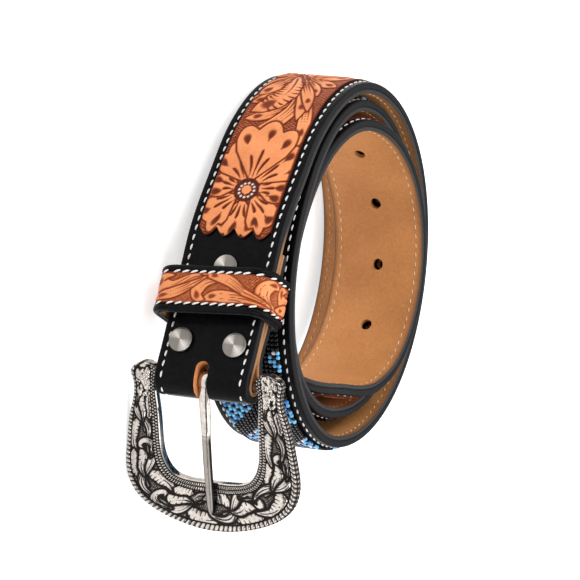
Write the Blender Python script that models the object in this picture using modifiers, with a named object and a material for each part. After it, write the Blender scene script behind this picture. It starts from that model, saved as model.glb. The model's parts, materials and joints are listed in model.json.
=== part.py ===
"""Western tooled belt, coiled nearly three turns and standing on its edge, with its buckle at the front.

The whole belt follows one seam: the line where the black strap meets its tan lining, seen from above.
It starts at the end of the folded tab, goes round the buckle's bar, along the straight billet and then
round the coil to the tip. Each layer of leather is a strip swept at its own distance from that seam.
"""
import math

import bmesh
import bpy
import numpy as np
from mathutils import Matrix, Vector

MM = 0.001

# Strap and its layers
STRAP_WIDTH = 38.1 * MM
STRAP_THICKNESS = 2.6 * MM
LINING_THICKNESS = 1.5 * MM
OVERLAY_THICKNESS = 1.0 * MM
BEAD_PANEL_THICKNESS = 1.5 * MM
BORDER = 4.4 * MM
EDGE_BEVEL = 0.6 * MM
LAYER_GAP = 0.3 * MM
TURN_GAP = 0.5 * MM

# Plan of the coil, measured over the strap's outer face
COIL_WIDTH = 139.6 * MM
COIL_BACK_DEPTH = 69.2 * MM
STATION_STEP = 9.0 * MM
STATION_GAP = 2.0 * MM

# Billet: the straight end that carries the buckle
BILLET_ANGLE = math.radians(-16.0)
BILLET_LENGTH = 53.0 * MM
BAR_ACROSS = 47.9 * MM
BAR_FORWARD = 74.4 * MM
KEEPER_TO_COIL = 8.9 * MM
TAB_LENGTH = 50.0 * MM
TAB_CLOSES_AT = 8.6 * MM
FOLD_WRAP = math.radians(122.0)

# Lengths along the strap from the buckle's bar
OVERLAY_START = 53.0 * MM
OVERLAY_END = 326.0 * MM
BEADS_START = 338.0 * MM
BEADS_END = 716.0 * MM
TIP_OVERLAY_START = 728.0 * MM
SCALLOP_COUNT = 4
SCALLOP_DEPTH = 3.2 * MM

# Tip and its holes
TIP_TAPER = 58.0 * MM
FIRST_HOLE_FROM_TIP = 77.0 * MM
HOLE_PITCH = 25.4 * MM
HOLE_COUNT = 5
HOLE_RADIUS = 2.25 * MM
CUT_MARGIN = 0.2 * MM

# Buckle
BAR_RADIUS = 1.9 * MM
BAR_SEAT = 3.0 * MM
BAR_CLEARANCE = 0.3 * MM
WINDOW_CLEARANCE = 1.5 * MM
WINDOW_LENGTH = 38.4 * MM
BUCKLE_WIDTH = 70.4 * MM
BUCKLE_REACH = 57.4 * MM
BUCKLE_THICKNESS = 3.4 * MM
BUCKLE_CROWN = 0.9 * MM
RELIEF_HEIGHT = 0.45 * MM
SCROLL_REPEAT = 21.0 * MM
HEEL_FADE = 6.0 * MM
HEEL_START = 1.2 * MM
BUCKLE_SWING = math.radians(35.0)

# Prong
PRONG_LENGTH = 50.5 * MM
PRONG_WIDTH = 4.4 * MM
PRONG_SHAFT = 3.4 * MM
PRONG_THICKNESS = 2.6 * MM
PRONG_EYE_WALL = 2.0 * MM
PRONG_ARCH = 0.4 * MM
SLOT_CLEARANCE = 0.45 * MM
SLOT_BACK = 5.6 * MM
SLOT_NOSE = 1.0 * MM

# Keeper
KEEPER_WIDTH = 17.6 * MM
KEEPER_FROM_BAR = 22.0 * MM
KEEPER_ROOM = 5.6 * MM
KEEPER_BOTTOM_SLACK = 1.5 * MM
KEEPER_LINING = 1.0 * MM
KEEPER_BAND = 1.2 * MM
KEEPER_OVERLAY = 1.0 * MM
KEEPER_BORDER = 2.9 * MM
KEEPER_CORNER = 2.4 * MM

# Screws: places are length back from the bar and height from the strap's middle
SCREW_RADIUS = 4.7 * MM
SCREW_CAP = 1.5 * MM
SCREW_BACK = 0.6 * MM
SCREW_BACK_RADIUS = 3.4 * MM
SCREW_POST = 2.0 * MM
SCREW_PLACES = (("screw_lower", 12.6 * MM, -11.0 * MM),
                ("screw_upper", 12.6 * MM, 11.0 * MM),
                ("screw_middle", 41.6 * MM, 0.0))

# Densities that decide how the belt balances, in kilograms for a cubic metre
LEATHER_DENSITY = 900.0
METAL_DENSITY = 7800.0

HALF_WIDTH = STRAP_WIDTH / 2
SEAM_RADIUS = BAR_RADIUS + BAR_CLEARANCE + LINING_THICKNESS + LAYER_GAP / 2
STRAP_OUTSIDE = LAYER_GAP / 2 + STRAP_THICKNESS
OVERLAY_INSIDE = STRAP_OUTSIDE + LAYER_GAP
TURN_PITCH = (LINING_THICKNESS + 2 * LAYER_GAP + STRAP_THICKNESS
              + max(OVERLAY_THICKNESS, BEAD_PANEL_THICKNESS) + TURN_GAP)
STACK_FRONT = -(SEAM_RADIUS + STRAP_OUTSIDE)
TAB_SEAM = -SEAM_RADIUS + 2 * LINING_THICKNESS + 2 * LAYER_GAP
STACK_BACK = TAB_SEAM + STRAP_OUTSIDE
KEEPER_BACK_SLACK = SCREW_BACK + 2 * LAYER_GAP
KEEPER_BACK = STACK_BACK + KEEPER_BACK_SLACK + KEEPER_LINING + KEEPER_BAND + KEEPER_OVERLAY + 2 * LAYER_GAP
COIL_FRONT_DEPTH = BAR_FORWARD - KEEPER_BACK - KEEPER_TO_COIL

# How the strap winds inward: turns made, strap layers outside it, slack as a share of half the coil's
# width, and lift of the lower edge as a share of the strap's width.
WINDING = (
    # turns  layers  slack   lift
    (0.075,  0.0,   -0.012,  0.00),
    (0.125,  0.0,    0.002,  0.00),
    (0.250,  0.0,    0.000,  0.00),
    (0.500,  0.0,    0.000, -0.02),
    (0.750,  0.0,    0.004,  0.00),
    (0.875,  0.0,    0.036,  0.00),
    (1.000,  0.0,    0.070,  0.00),
    (1.060,  0.5,    0.058, -0.01),
    (1.125,  1.0,    0.018, -0.02),
    (1.250,  1.0,    0.002, -0.04),
    (1.500,  1.0,    0.002, -0.10),
    (1.625,  1.0,    0.008, -0.10),
    (1.750,  1.0,    0.062, -0.09),
    (1.875,  1.0,    0.044, -0.09),
    (2.000,  1.0,    0.080, -0.10),
    (2.060,  1.5,    0.068, -0.09),
    (2.125,  2.0,    0.034, -0.07),
    (2.250,  2.0,    0.010,  0.02),
    (2.500,  2.0,    0.006,  0.13),
    (2.625,  2.0,    0.014,  0.12),
    (2.690,  2.0,    0.056,  0.11),
    (2.750,  2.0,    0.098,  0.10),
    (2.800,  2.0,    0.072,  0.08),
    (2.840,  2.0,    0.050,  0.06),
)

# Outline of the tapered tip: length as a share of the taper, half width as a share of the strap's half
TIP_OUTLINE = ((0.0, 1.0), (0.3, 0.97), (0.55, 0.86), (0.75, 0.68), (0.9, 0.44), (0.97, 0.26), (1.0, 0.12))

# Half of the buckle's outline, from the rounded heel beside the bar to the middle of its far side.
# Lengths are shares of the window's length and the buckle's reach, widths of their own half widths.
BUCKLE_OUTLINE = (
    # window length, window half width, outer reach, outer half width
    (-0.140, 1.130, -0.094, 0.744),
    (-0.118, 1.045, -0.072, 0.818),
    (0.000,  1.000,  0.018, 0.864),
    (0.340,  1.000,  0.244, 0.915),
    (0.650,  0.985,  0.470, 0.980),
    (0.830,  0.920,  0.660, 1.000),
    (0.950,  0.750,  0.810, 0.898),
    (0.990,  0.520,  0.906, 0.682),
    (0.998,  0.250,  0.979, 0.327),
    (1.000,  0.000,  1.000, 0.000),
)

# Cross-section of the buckle's rail, from the window to the outer edge: share of the rail's width and
# share of the crown's height
RAIL_SECTION = ((0.0, 0.0), (0.04, 0.42), (0.14, 0.55), (0.20, 0.42), (0.32, 0.78), (0.46, 1.0),
                (0.60, 0.98), (0.74, 0.74), (0.84, 0.40), (0.90, 0.62), (0.96, 0.55), (1.0, 0.0))
BEAD_COLUMN = 2
ROPE_COLUMNS = (9, 10)
BUCKLE_STATIONS = 151


def spline(knots, values, at):
    """Natural cubic spline through rows of values, read at the places in at."""
    knots = np.asarray(knots, float)
    values = np.asarray(values, float)
    at = np.asarray(at, float)
    step = np.diff(knots)
    slope = np.diff(values, axis=0) / step[:, None]
    count = len(knots)
    system = np.eye(count)
    right = np.zeros_like(values)
    for row in range(1, count - 1):
        system[row, row - 1] = step[row - 1]
        system[row, row] = 2 * (step[row - 1] + step[row])
        system[row, row + 1] = step[row]
        right[row] = 6 * (slope[row] - slope[row - 1])
    bend = np.linalg.solve(system, right)
    span = np.clip(np.searchsorted(knots, at, side="right") - 1, 0, count - 2)
    width = step[span][:, None]
    after = (at - knots[span])[:, None]
    before = width - after
    return (bend[span] * before ** 3 / (6 * width) + bend[span + 1] * after ** 3 / (6 * width)
            + (values[span] / width - bend[span] * width / 6) * before
            + (values[span + 1] / width - bend[span + 1] * width / 6) * after)


def billet_axes():
    """The bar's foot on the coil's ground plane, the billet's direction and the direction to its inside."""
    along = np.array((math.cos(BILLET_ANGLE), math.sin(BILLET_ANGLE)))
    inside = np.array((-along[1], along[0]))
    bar = np.array((BAR_ACROSS, -BAR_FORWARD))
    return bar, along, inside


def coil_point(turns, inset):
    """A point on the coil's oval after so many turns from the front, moved inward along its normal."""
    half = COIL_WIDTH / 2
    angle = -math.pi / 2 - 2 * math.pi * turns
    depth = COIL_BACK_DEPTH if math.sin(angle) > 0 else COIL_FRONT_DEPTH
    point = np.array((half * math.cos(angle), depth * math.sin(angle)))
    normal = np.array((depth * math.cos(angle), half * math.sin(angle)))
    return point - inset * normal / np.linalg.norm(normal)


class Seam:
    """The seam between strap and lining: its stations, directions and lengths from the bar."""

    def __init__(self):
        bar, along, inside = billet_axes()
        points = []
        for length in np.linspace(TAB_LENGTH, TAB_CLOSES_AT, 5):
            points.append(bar - along * length + inside * TAB_SEAM)
        for angle in np.linspace(FOLD_WRAP, -math.pi / 2, 10):
            points.append(bar + SEAM_RADIUS * (along * math.cos(angle) + inside * math.sin(angle)))
        front_of_fold = len(points) - 1
        for length in np.linspace(0, BILLET_LENGTH, 7)[1:]:
            points.append(bar - along * length - inside * SEAM_RADIUS)
        lifts = [0.0] * len(points)
        winding = np.array(WINDING)
        turns = np.linspace(winding[0, 0], winding[-1, 0], 92)
        rows = spline(winding[:, 0], winding[:, 1:], turns)
        for turn, (layers, slack, lift) in zip(turns, rows):
            inset = layers * TURN_PITCH + slack * COIL_WIDTH / 2 + STRAP_OUTSIDE
            points.append(coil_point(turn, inset))
            lifts.append(lift * STRAP_WIDTH)
        points = np.array(points)
        reach = np.concatenate(([0.0], np.cumsum(np.linalg.norm(np.diff(points, axis=0), axis=1))))
        self.knots = reach - reach[front_of_fold]
        self.rows = np.column_stack((points, lifts))
        self.start = self.knots[0]
        self.end = self.knots[-1]
        fold = list(self.knots[4:front_of_fold + 1])
        tab = list(np.linspace(self.start, fold[0], 5)[:-1])
        run_count = round(self.end / STATION_STEP)
        run = list(np.linspace(0, self.end, run_count + 1)[1:])
        taper = [self.end - TIP_TAPER * (1 - share) for share, _ in TIP_OUTLINE]
        run = [s for s in run if s < taper[0] - STATION_STEP / 2] + taper
        self.stations = tab + fold + run

    def at(self, s):
        """Plan point, outward normal and lift at a length from the bar."""
        nudge = 0.05 * MM
        row = spline(self.knots, self.rows, [s - nudge, s, s + nudge])
        tangent = row[2, :2] - row[0, :2]
        tangent /= np.linalg.norm(tangent)
        return row[1, :2], np.array((-tangent[1], tangent[0])), row[1, 2]

    def between(self, first, last):
        inner = [s for s in self.stations if first + STATION_GAP < s < last - STATION_GAP]
        return [first] + inner + [last]


def half_width(seam, s, border):
    """Half the strap's width at a length, less a border that also follows the tapered tip."""
    share = (s + border - (seam.end - TIP_TAPER)) / TIP_TAPER
    lengths = [row[0] for row in TIP_OUTLINE]
    widths = [row[1] for row in TIP_OUTLINE]
    return HALF_WIDTH * float(np.interp(share, lengths, widths)) - border


def new_object(name, mesh, material, collection):
    thing = bpy.data.objects.new(name, mesh)
    if material:
        mesh.materials.clear()
        mesh.materials.append(material)
    collection.objects.link(thing)
    return thing


def grid_body(name, rings):
    """A closed body through rings of points of equal count, capped at both ends."""
    shape = bmesh.new()
    rows = [[shape.verts.new(point) for point in ring] for ring in rings]
    count = len(rows[0])
    for before, after in zip(rows, rows[1:]):
        for i in range(count):
            j = (i + 1) % count
            shape.faces.new((before[i], before[j], after[j], after[i]))
    shape.faces.new(rows[0][::-1])
    shape.faces.new(rows[-1])
    bmesh.ops.recalc_face_normals(shape, faces=shape.faces)
    mesh = bpy.data.meshes.new(name)
    shape.to_mesh(mesh)
    shape.free()
    return mesh


def strip_ring(seam, s, section, border):
    """One ring of a strip: section rows are distance from the seam and share of the half width."""
    point, normal, lift = seam.at(s)
    half = half_width(seam, s, border)
    ring = []
    for distance, across, trim in section:
        flat = point + normal * distance
        height = lift + HALF_WIDTH + across * (half - min(trim, half * 0.5))
        ring.append(Vector((flat[0], flat[1], height)))
    return ring


def leather_strip(name, seam, first, last, inside, thickness, border=0.0, bevel=0.0):
    """A strip of leather along the seam, between two lengths, with softened outer edges if asked."""
    outside = inside + thickness
    if bevel:
        section = ((inside, -1, 0.0), (inside, 1, 0.0), (outside - bevel, 1, 0.0), (outside, 1, bevel),
                   (outside, -1, bevel), (outside - bevel, -1, 0.0))
    else:
        section = ((inside, -1, 0.0), (inside, 1, 0.0), (outside, 1, 0.0), (outside, -1, 0.0))
    rings = [strip_ring(seam, s, section, border) for s in seam.between(first, last)]
    return grid_body(name, rings)


def scalloped_strip(name, seam, first, last, inside, thickness, border):
    """A strip whose first end is cut in scallops: columns across the width start at their own lengths."""
    columns = SCALLOP_COUNT * 4 + 1
    stations = seam.between(first, last)
    fade = STATION_STEP * 1.5
    rings = []
    for s in stations:
        low_side = []
        high_side = []
        for k in range(columns):
            share = k / (columns - 1)
            lobe = abs(math.sin(math.pi * SCALLOP_COUNT * share))
            shift = SCALLOP_DEPTH * (1 - lobe) * max(0.0, 1 - (s - first) / fade)
            point, normal, lift = seam.at(s + shift)
            height = lift + HALF_WIDTH + (2 * share - 1) * half_width(seam, s, border)
            for side, distance in ((low_side, inside), (high_side, inside + thickness)):
                flat = point + normal * distance
                side.append(Vector((flat[0], flat[1], height)))
        rings.append(low_side + high_side[::-1])
    return grid_body(name, rings)


def cylinder(name, radius, length, matrix, segments=16):
    shape = bmesh.new()
    bmesh.ops.create_cone(shape, cap_ends=True, segments=segments, radius1=radius, radius2=radius,
                          depth=length, matrix=matrix)
    mesh = bpy.data.meshes.new(name)
    shape.to_mesh(mesh)
    shape.free()
    return mesh


def box(name, low, high, matrix):
    shape = bmesh.new()
    size = Vector(high) - Vector(low)
    middle = (Vector(high) + Vector(low)) / 2
    bmesh.ops.create_cube(shape, size=1.0)
    bmesh.ops.scale(shape, vec=size, verts=shape.verts)
    bmesh.ops.translate(shape, vec=middle, verts=shape.verts)
    bmesh.ops.transform(shape, matrix=matrix, verts=shape.verts)
    mesh = bpy.data.meshes.new(name)
    shape.to_mesh(mesh)
    shape.free()
    return mesh


def cutter(mesh, collection):
    thing = new_object(mesh.name, mesh, None, collection)
    thing.hide_render = True
    thing.display_type = "WIRE"
    return thing


def boolean(thing, other, operation="DIFFERENCE"):
    modifier = thing.modifiers.new(other.name, "BOOLEAN")
    modifier.operation = operation
    modifier.solver = "EXACT"
    modifier.object = other


def direction_matrix(point, axis):
    """A matrix at a point whose Z looks along the axis."""
    turn = Vector((0, 0, 1)).rotation_difference(Vector(axis)).to_matrix().to_4x4()
    return Matrix.Translation(Vector(point)) @ turn


def billet_matrix():
    """Frame of the billet: X along it away from the coil, Y to its inside, Z up, zero on the bar's middle."""
    bar, along, inside = billet_axes()
    matrix = Matrix.Identity(4)
    for row in range(2):
        matrix[row][0] = along[row]
        matrix[row][1] = inside[row]
        matrix[row][3] = bar[row]
    matrix[2][3] = HALF_WIDTH
    return matrix


def rounded_loop(low, high, corner, steps=5):
    """Points of a rectangle with round corners, in the plane of depth and height."""
    points = []
    for sx, sz, start in ((1, 1, 0), (-1, 1, 1), (-1, -1, 2), (1, -1, 3)):
        cx = (high[0] if sx > 0 else low[0]) - sx * corner
        cz = (high[1] if sz > 0 else low[1]) - sz * corner
        for k in range(steps + 1):
            angle = math.pi / 2 * (start + k / steps)
            points.append((cx + corner * math.cos(angle), cz + corner * math.sin(angle)))
    return points


def band_loop(name, low, high, corner, wall, width, middle):
    """A leather loop: two rounded outlines in the billet's depth and height, extruded along the billet."""
    curve = bpy.data.curves.new(name, "CURVE")
    curve.dimensions = "2D"
    curve.fill_mode = "BOTH"
    curve.extrude = width / 2
    outer_low = (low[0] - wall, low[1] - wall)
    outer_high = (high[0] + wall, high[1] + wall)
    for a, b, radius in ((outer_low, outer_high, corner + wall), (low, high, corner)):
        points = rounded_loop(a, b, radius)
        line = curve.splines.new("POLY")
        line.points.add(len(points) - 1)
        line.use_cyclic_u = True
        for slot, (depth, height) in zip(line.points, points):
            slot.co = (depth, height, 0.0, 1.0)
    holder = bpy.data.objects.new(name + "_outline", curve)
    bpy.context.scene.collection.objects.link(holder)
    bpy.context.view_layer.update()
    evaluated = holder.evaluated_get(bpy.context.evaluated_depsgraph_get())
    mesh = bpy.data.meshes.new_from_object(evaluated)
    bpy.data.objects.remove(holder)
    bpy.data.curves.remove(curve)
    shape = bmesh.new()
    shape.from_mesh(mesh)
    bmesh.ops.remove_doubles(shape, verts=shape.verts, dist=0.00001)
    stand_up = Matrix(((0, 0, 1, middle), (1, 0, 0, 0), (0, 1, 0, 0), (0, 0, 0, 1)))
    bmesh.ops.transform(shape, matrix=billet_matrix() @ stand_up, verts=shape.verts)
    bmesh.ops.recalc_face_normals(shape, faces=shape.faces)
    shape.to_mesh(mesh)
    shape.free()
    mesh.name = name
    return mesh


def outline_curves():
    """The buckle's inner and outer outlines as smooth rows, from one heel round to the other."""
    rows = np.array(BUCKLE_OUTLINE)
    scale = np.array((WINDOW_LENGTH, HALF_WIDTH + WINDOW_CLEARANCE, BUCKLE_REACH, BUCKLE_WIDTH / 2))
    lower = rows * scale * np.array((1, -1, 1, -1))
    upper = (rows * scale)[-2::-1]
    both = np.vstack((lower, upper))
    middle = (both[:, 0:2] + both[:, 2:4]) / 2
    reach = np.concatenate(([0.0], np.cumsum(np.linalg.norm(np.diff(middle, axis=0), axis=1))))
    return reach, both


def scroll_height(along, across):
    """Raised leafy scroll on the rail: arcs that curl to alternate sides, as a share of the relief."""
    phase = along / SCROLL_REPEAT
    side = 1 if math.floor(phase) % 2 == 0 else -1
    local = (phase - math.floor(phase) - 0.5) * 2
    height = (across - 0.53) * 2 * side
    radius = math.hypot(local * 1.05, height * 0.9 - 0.1)
    angle = math.atan2(height * 0.9 - 0.1, local * 1.05)
    stem = math.cos(2 * math.pi * radius * 1.15 - angle)
    return max(0.0, stem) ** 0.7


def buckle_mesh(name):
    """The cast buckle in its own frame: X to its far side, -Y to its face, Z up, zero on the bar.

    The far rail has a notch across its middle, where the prong lies.
    """
    reach, rows = outline_curves()
    places = np.linspace(0, reach[-1], BUCKLE_STATIONS)
    outline = spline(reach, rows, places)
    face = -BUCKLE_THICKNESS / 2
    back = BUCKLE_THICKNESS / 2
    rings = []
    for index, (s, row) in enumerate(zip(places, outline)):
        inner = row[0:2]
        outer = row[2:4]
        end = min(s, reach[-1] - s)
        fade = min(1.0, (end + HEEL_START) / HEEL_FADE)
        rope = 1.0 if index % 2 == 0 else 0.35
        notch = min(1.0, max(0.0, (abs(row[1]) - PRONG_SHAFT * 0.62) / PRONG_SHAFT))
        ring = []
        for column, (share, crown) in enumerate(RAIL_SECTION):
            flat = inner + (outer - inner) * share
            lift = crown * BUCKLE_CROWN * fade
            if column == BEAD_COLUMN:
                lift += RELIEF_HEIGHT * rope * fade
            elif column in ROPE_COLUMNS:
                lift += RELIEF_HEIGHT * (rope if column == ROPE_COLUMNS[0] else 1.35 - rope) * fade
            elif 0.25 < share < 0.8:
                lift += RELIEF_HEIGHT * scroll_height(s, share) * fade
            ring.append(Vector((flat[0], face - lift * notch, flat[1])))
        ring.append(Vector((outer[0], back, outer[1])))
        ring.append(Vector((inner[0], back, inner[1])))
        rings.append(ring)
    return grid_body(name, rings)


def prong_mesh(name):
    """The prong in the buckle's frame: an eye round the bar and a tapered shaft that lies on the rail."""
    eye = BAR_RADIUS + BAR_CLEARANCE + PRONG_EYE_WALL
    rest = BUCKLE_THICKNESS / 2 + LAYER_GAP + PRONG_THICKNESS / 2
    rows = (
        # length share, depth, half width, half thickness
        (0.00, eye - PRONG_THICKNESS / 2, PRONG_WIDTH / 2, PRONG_THICKNESS / 2),
        (0.12, eye - PRONG_THICKNESS / 4, PRONG_WIDTH / 2, PRONG_THICKNESS / 2),
        (0.30, rest + PRONG_ARCH / 2, PRONG_WIDTH * 0.46, PRONG_THICKNESS / 2),
        (0.42, rest + PRONG_ARCH, PRONG_SHAFT / 2, PRONG_THICKNESS / 2),
        (0.60, rest + PRONG_ARCH, PRONG_SHAFT / 2, PRONG_THICKNESS / 2),
        (0.80, rest, PRONG_SHAFT * 0.47, PRONG_THICKNESS / 2),
        (0.93, rest - PRONG_THICKNESS * 0.08, PRONG_SHAFT * 0.42, PRONG_THICKNESS * 0.42),
        (0.98, rest - PRONG_THICKNESS * 0.14, PRONG_SHAFT * 0.3, PRONG_THICKNESS * 0.34),
        (1.00, rest - PRONG_THICKNESS * 0.2, PRONG_SHAFT * 0.14, PRONG_THICKNESS * 0.2),
    )
    rings = []
    for share, depth, half, thick in rows:
        ring = []
        for k in range(8):
            angle = math.pi / 8 + math.pi / 4 * k
            across = half * math.copysign(abs(math.cos(angle)) ** 0.7, math.cos(angle)) * 1.06
            out = thick * math.copysign(abs(math.sin(angle)) ** 0.7, math.sin(angle)) * 1.06
            ring.append(Vector((share * PRONG_LENGTH, -depth - out, across)))
        rings.append(ring)
    return grid_body(name, rings), eye


def screw_object(name, length, height, material, collection):
    """A two-part screw turned in one profile: domed cap, post through the billet, and back cap."""
    cap_foot = STACK_FRONT - LAYER_GAP
    back_foot = STACK_BACK + LAYER_GAP
    rise = SCREW_CAP
    profile = (
        (0.0, cap_foot - rise),
        (SCREW_RADIUS * 0.62, cap_foot - rise * 0.9),
        (SCREW_RADIUS * 0.93, cap_foot - rise * 0.6),
        (SCREW_RADIUS, cap_foot - rise * 0.25),
        (SCREW_RADIUS, cap_foot),
        (SCREW_POST, cap_foot),
        (SCREW_POST, back_foot),
        (SCREW_BACK_RADIUS, back_foot),
        (SCREW_BACK_RADIUS, back_foot + SCREW_BACK),
        (0.0, back_foot + SCREW_BACK),
    )
    shape = bmesh.new()
    verts = [shape.verts.new((radius, 0, -depth)) for radius, depth in profile]
    for a, b in zip(verts, verts[1:]):
        shape.edges.new((a, b))
    mesh = bpy.data.meshes.new(name)
    shape.to_mesh(mesh)
    shape.free()
    thing = new_object(name, mesh, material, collection)
    turn = thing.modifiers.new("turned", "SCREW")
    turn.steps = 16
    turn.render_steps = 16
    turn.use_merge_vertices = True
    turn.merge_threshold = 0.00001
    thing.matrix_world = (billet_matrix() @ Matrix.Translation(Vector((-length, 0, height)))
                          @ Matrix.Rotation(math.pi / 2, 4, "X"))
    return thing


def principled(name, colour, roughness, metallic):
    material = bpy.data.materials.new(name)
    material.use_nodes = True
    shader = material.node_tree.nodes["Principled BSDF"]
    shader.inputs["Base Color"].default_value = (*colour, 1.0)
    shader.inputs["Roughness"].default_value = roughness
    shader.inputs["Metallic"].default_value = metallic
    return material


def world_mesh(thing, depsgraph):
    """Corners, volume and volume-weighted middle of an object as it stands."""
    evaluated = thing.evaluated_get(depsgraph)
    shape = bmesh.new()
    shape.from_mesh(evaluated.data)
    shape.transform(thing.matrix_world)
    bmesh.ops.triangulate(shape, faces=shape.faces)
    volume = 0.0
    middle = Vector()
    for face in shape.faces:
        a, b, c = (v.co for v in face.verts)
        part = a.dot(b.cross(c)) / 6
        volume += part
        middle += (a + b + c) / 4 * part
    corners = [v.co.copy() for v in shape.verts]
    shape.free()
    return corners, abs(volume), middle / volume


def resting_turn(parts, metal):
    """The turn that stands the belt on the lowest facet of its hull that lies under its balance point."""
    bpy.context.view_layer.update()
    depsgraph = bpy.context.evaluated_depsgraph_get()
    corners = []
    weight = 0.0
    balance = Vector()
    for thing in parts:
        points, volume, middle = world_mesh(thing, depsgraph)
        mass = volume * (METAL_DENSITY if thing in metal else LEATHER_DENSITY)
        corners += points
        weight += mass
        balance += middle * mass
    balance /= weight
    hull = bmesh.new()
    for point in corners:
        hull.verts.new(point)
    made = bmesh.ops.convex_hull(hull, input=hull.verts, use_existing_faces=False)
    faces = [item for item in made["geom"] if isinstance(item, bmesh.types.BMFace)]
    best = None
    for face in faces:
        a, b, c = (v.co for v in face.verts[:3])
        normal = (b - a).cross(c - a).normalized()
        if normal.dot(balance - a) > 0:
            normal.negate()
        foot = balance - normal * (balance - a).dot(normal)
        sides = []
        for p, q in ((a, b), (b, c), (c, a)):
            sides.append((q - p).cross(foot - p).dot(normal))
        held = min(sides) >= 0 or max(sides) <= 0
        if held and (best is None or normal.z < best.z):
            best = normal
    hull.free()
    return best.rotation_difference(Vector((0, 0, -1))).to_matrix().to_4x4()


def build():
    for thing in list(bpy.data.objects):
        bpy.data.objects.remove(thing)
    belt = bpy.data.collections.new("western_tooled_belt")
    cutters = bpy.data.collections.new("cutters")
    bpy.context.scene.collection.children.link(belt)
    bpy.context.scene.collection.children.link(cutters)

    black = principled("black_leather", (0.02, 0.02, 0.022), 0.35, 0.0)
    tan = principled("tan_lining_leather", (0.55, 0.27, 0.10), 0.55, 0.0)
    tooled = principled("tooled_leather", (0.72, 0.36, 0.16), 0.5, 0.0)
    beaded = principled("beaded_panel", (0.08, 0.22, 0.42), 0.3, 0.0)
    silver = principled("antique_silver", (0.62, 0.58, 0.54), 0.35, 1.0)
    steel = principled("brushed_nickel", (0.70, 0.68, 0.64), 0.3, 1.0)

    seam = Seam()
    tip_end = seam.end - BORDER
    strap = new_object("strap", leather_strip("strap", seam, seam.start, seam.end, LAYER_GAP / 2,
                                              STRAP_THICKNESS, bevel=EDGE_BEVEL), black, belt)
    lining = new_object("lining", leather_strip("lining", seam, seam.start, seam.end,
                                                -LAYER_GAP / 2 - LINING_THICKNESS,
                                                LINING_THICKNESS), tan, belt)
    front_overlay = new_object("front_overlay", scalloped_strip("front_overlay", seam, OVERLAY_START,
                                                                OVERLAY_END, OVERLAY_INSIDE,
                                                                OVERLAY_THICKNESS, BORDER), tooled, belt)
    tip_overlay = new_object("tip_overlay", leather_strip("tip_overlay", seam, TIP_OVERLAY_START, tip_end,
                                                          OVERLAY_INSIDE, OVERLAY_THICKNESS,
                                                          BORDER), tooled, belt)
    panel = new_object("bead_panel", leather_strip("bead_panel", seam, BEADS_START, BEADS_END,
                                                   OVERLAY_INSIDE, BEAD_PANEL_THICKNESS,
                                                   BORDER), beaded, belt)

    place = billet_matrix()
    slot_half = PRONG_WIDTH / 2 + SLOT_CLEARANCE
    nose = SEAM_RADIUS + STRAP_OUTSIDE + SLOT_NOSE
    slot = cutter(box("prong_slot", (-SLOT_BACK, -nose, -slot_half), (nose, nose, slot_half), place), cutters)
    boolean(strap, slot)
    boolean(lining, slot)
    for name, length, height in SCREW_PLACES:
        drill_place = place @ Matrix.Translation(Vector((-length, 0, height))) @ Matrix.Rotation(
            math.pi / 2, 4, "X")
        drill = cutter(cylinder(name + "_drill", SCREW_POST + LAYER_GAP, 2 * nose, drill_place), cutters)
        boolean(strap, drill)
        boolean(lining, drill)
    reach_in = LAYER_GAP + LINING_THICKNESS + CUT_MARGIN
    reach_out = OVERLAY_INSIDE + OVERLAY_THICKNESS + CUT_MARGIN
    for k in range(HOLE_COUNT):
        point, normal, lift = seam.at(seam.end - FIRST_HOLE_FROM_TIP - k * HOLE_PITCH)
        middle = point + normal * (reach_out - reach_in) / 2
        axis = (normal[0], normal[1], 0)
        punch_place = direction_matrix((middle[0], middle[1], lift + HALF_WIDTH), axis)
        punch = cutter(cylinder("hole_%d" % (k + 1), HOLE_RADIUS, reach_in + reach_out, punch_place, 12),
                       cutters)
        for layer in (strap, lining, tip_overlay):
            boolean(layer, punch)

    low = (STACK_FRONT - KEEPER_ROOM, -HALF_WIDTH - KEEPER_BOTTOM_SLACK)
    high = (STACK_BACK + KEEPER_BACK_SLACK, HALF_WIDTH + LAYER_GAP)
    middle = -KEEPER_FROM_BAR - KEEPER_WIDTH / 2
    grown = 0.0
    keeper_parts = []
    for name, wall, width, material in (
            ("keeper_lining", KEEPER_LINING, KEEPER_WIDTH, tan),
            ("keeper_band", KEEPER_BAND, KEEPER_WIDTH, black),
            ("keeper_overlay", KEEPER_OVERLAY, KEEPER_WIDTH - 2 * KEEPER_BORDER, tooled)):
        loop_low = (low[0] - grown, low[1] - grown)
        loop_high = (high[0] + grown, high[1] + grown)
        mesh = band_loop(name, loop_low, loop_high, KEEPER_CORNER + grown, wall, width, middle)
        keeper_parts.append(new_object(name, mesh, material, belt))
        grown += wall + LAYER_GAP

    hinge = bpy.data.objects.new("buckle_hinge", None)
    belt.objects.link(hinge)
    hinge.matrix_world = place @ Matrix.Rotation(BUCKLE_SWING, 4, "Z")
    buckle = new_object("buckle", buckle_mesh("buckle"), silver, belt)
    bar_length = STRAP_WIDTH + 2 * (WINDOW_CLEARANCE + BAR_SEAT)
    bar = cutter(cylinder("bar_core", BAR_RADIUS, bar_length, Matrix.Identity(4)), cutters)
    boolean(buckle, bar, "UNION")
    shaft, eye = prong_mesh("prong")
    prong = new_object("prong", shaft, silver, belt)
    eye_body = cutter(cylinder("eye_core", eye, PRONG_WIDTH, Matrix.Identity(4), 20), cutters)
    bore = cutter(cylinder("eye_bore", BAR_RADIUS + BAR_CLEARANCE, 2 * PRONG_WIDTH, Matrix.Identity(4), 20),
                  cutters)
    boolean(prong, eye_body, "UNION")
    boolean(prong, bore)
    for thing in (buckle, prong, bar, eye_body, bore):
        thing.parent = hinge

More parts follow.
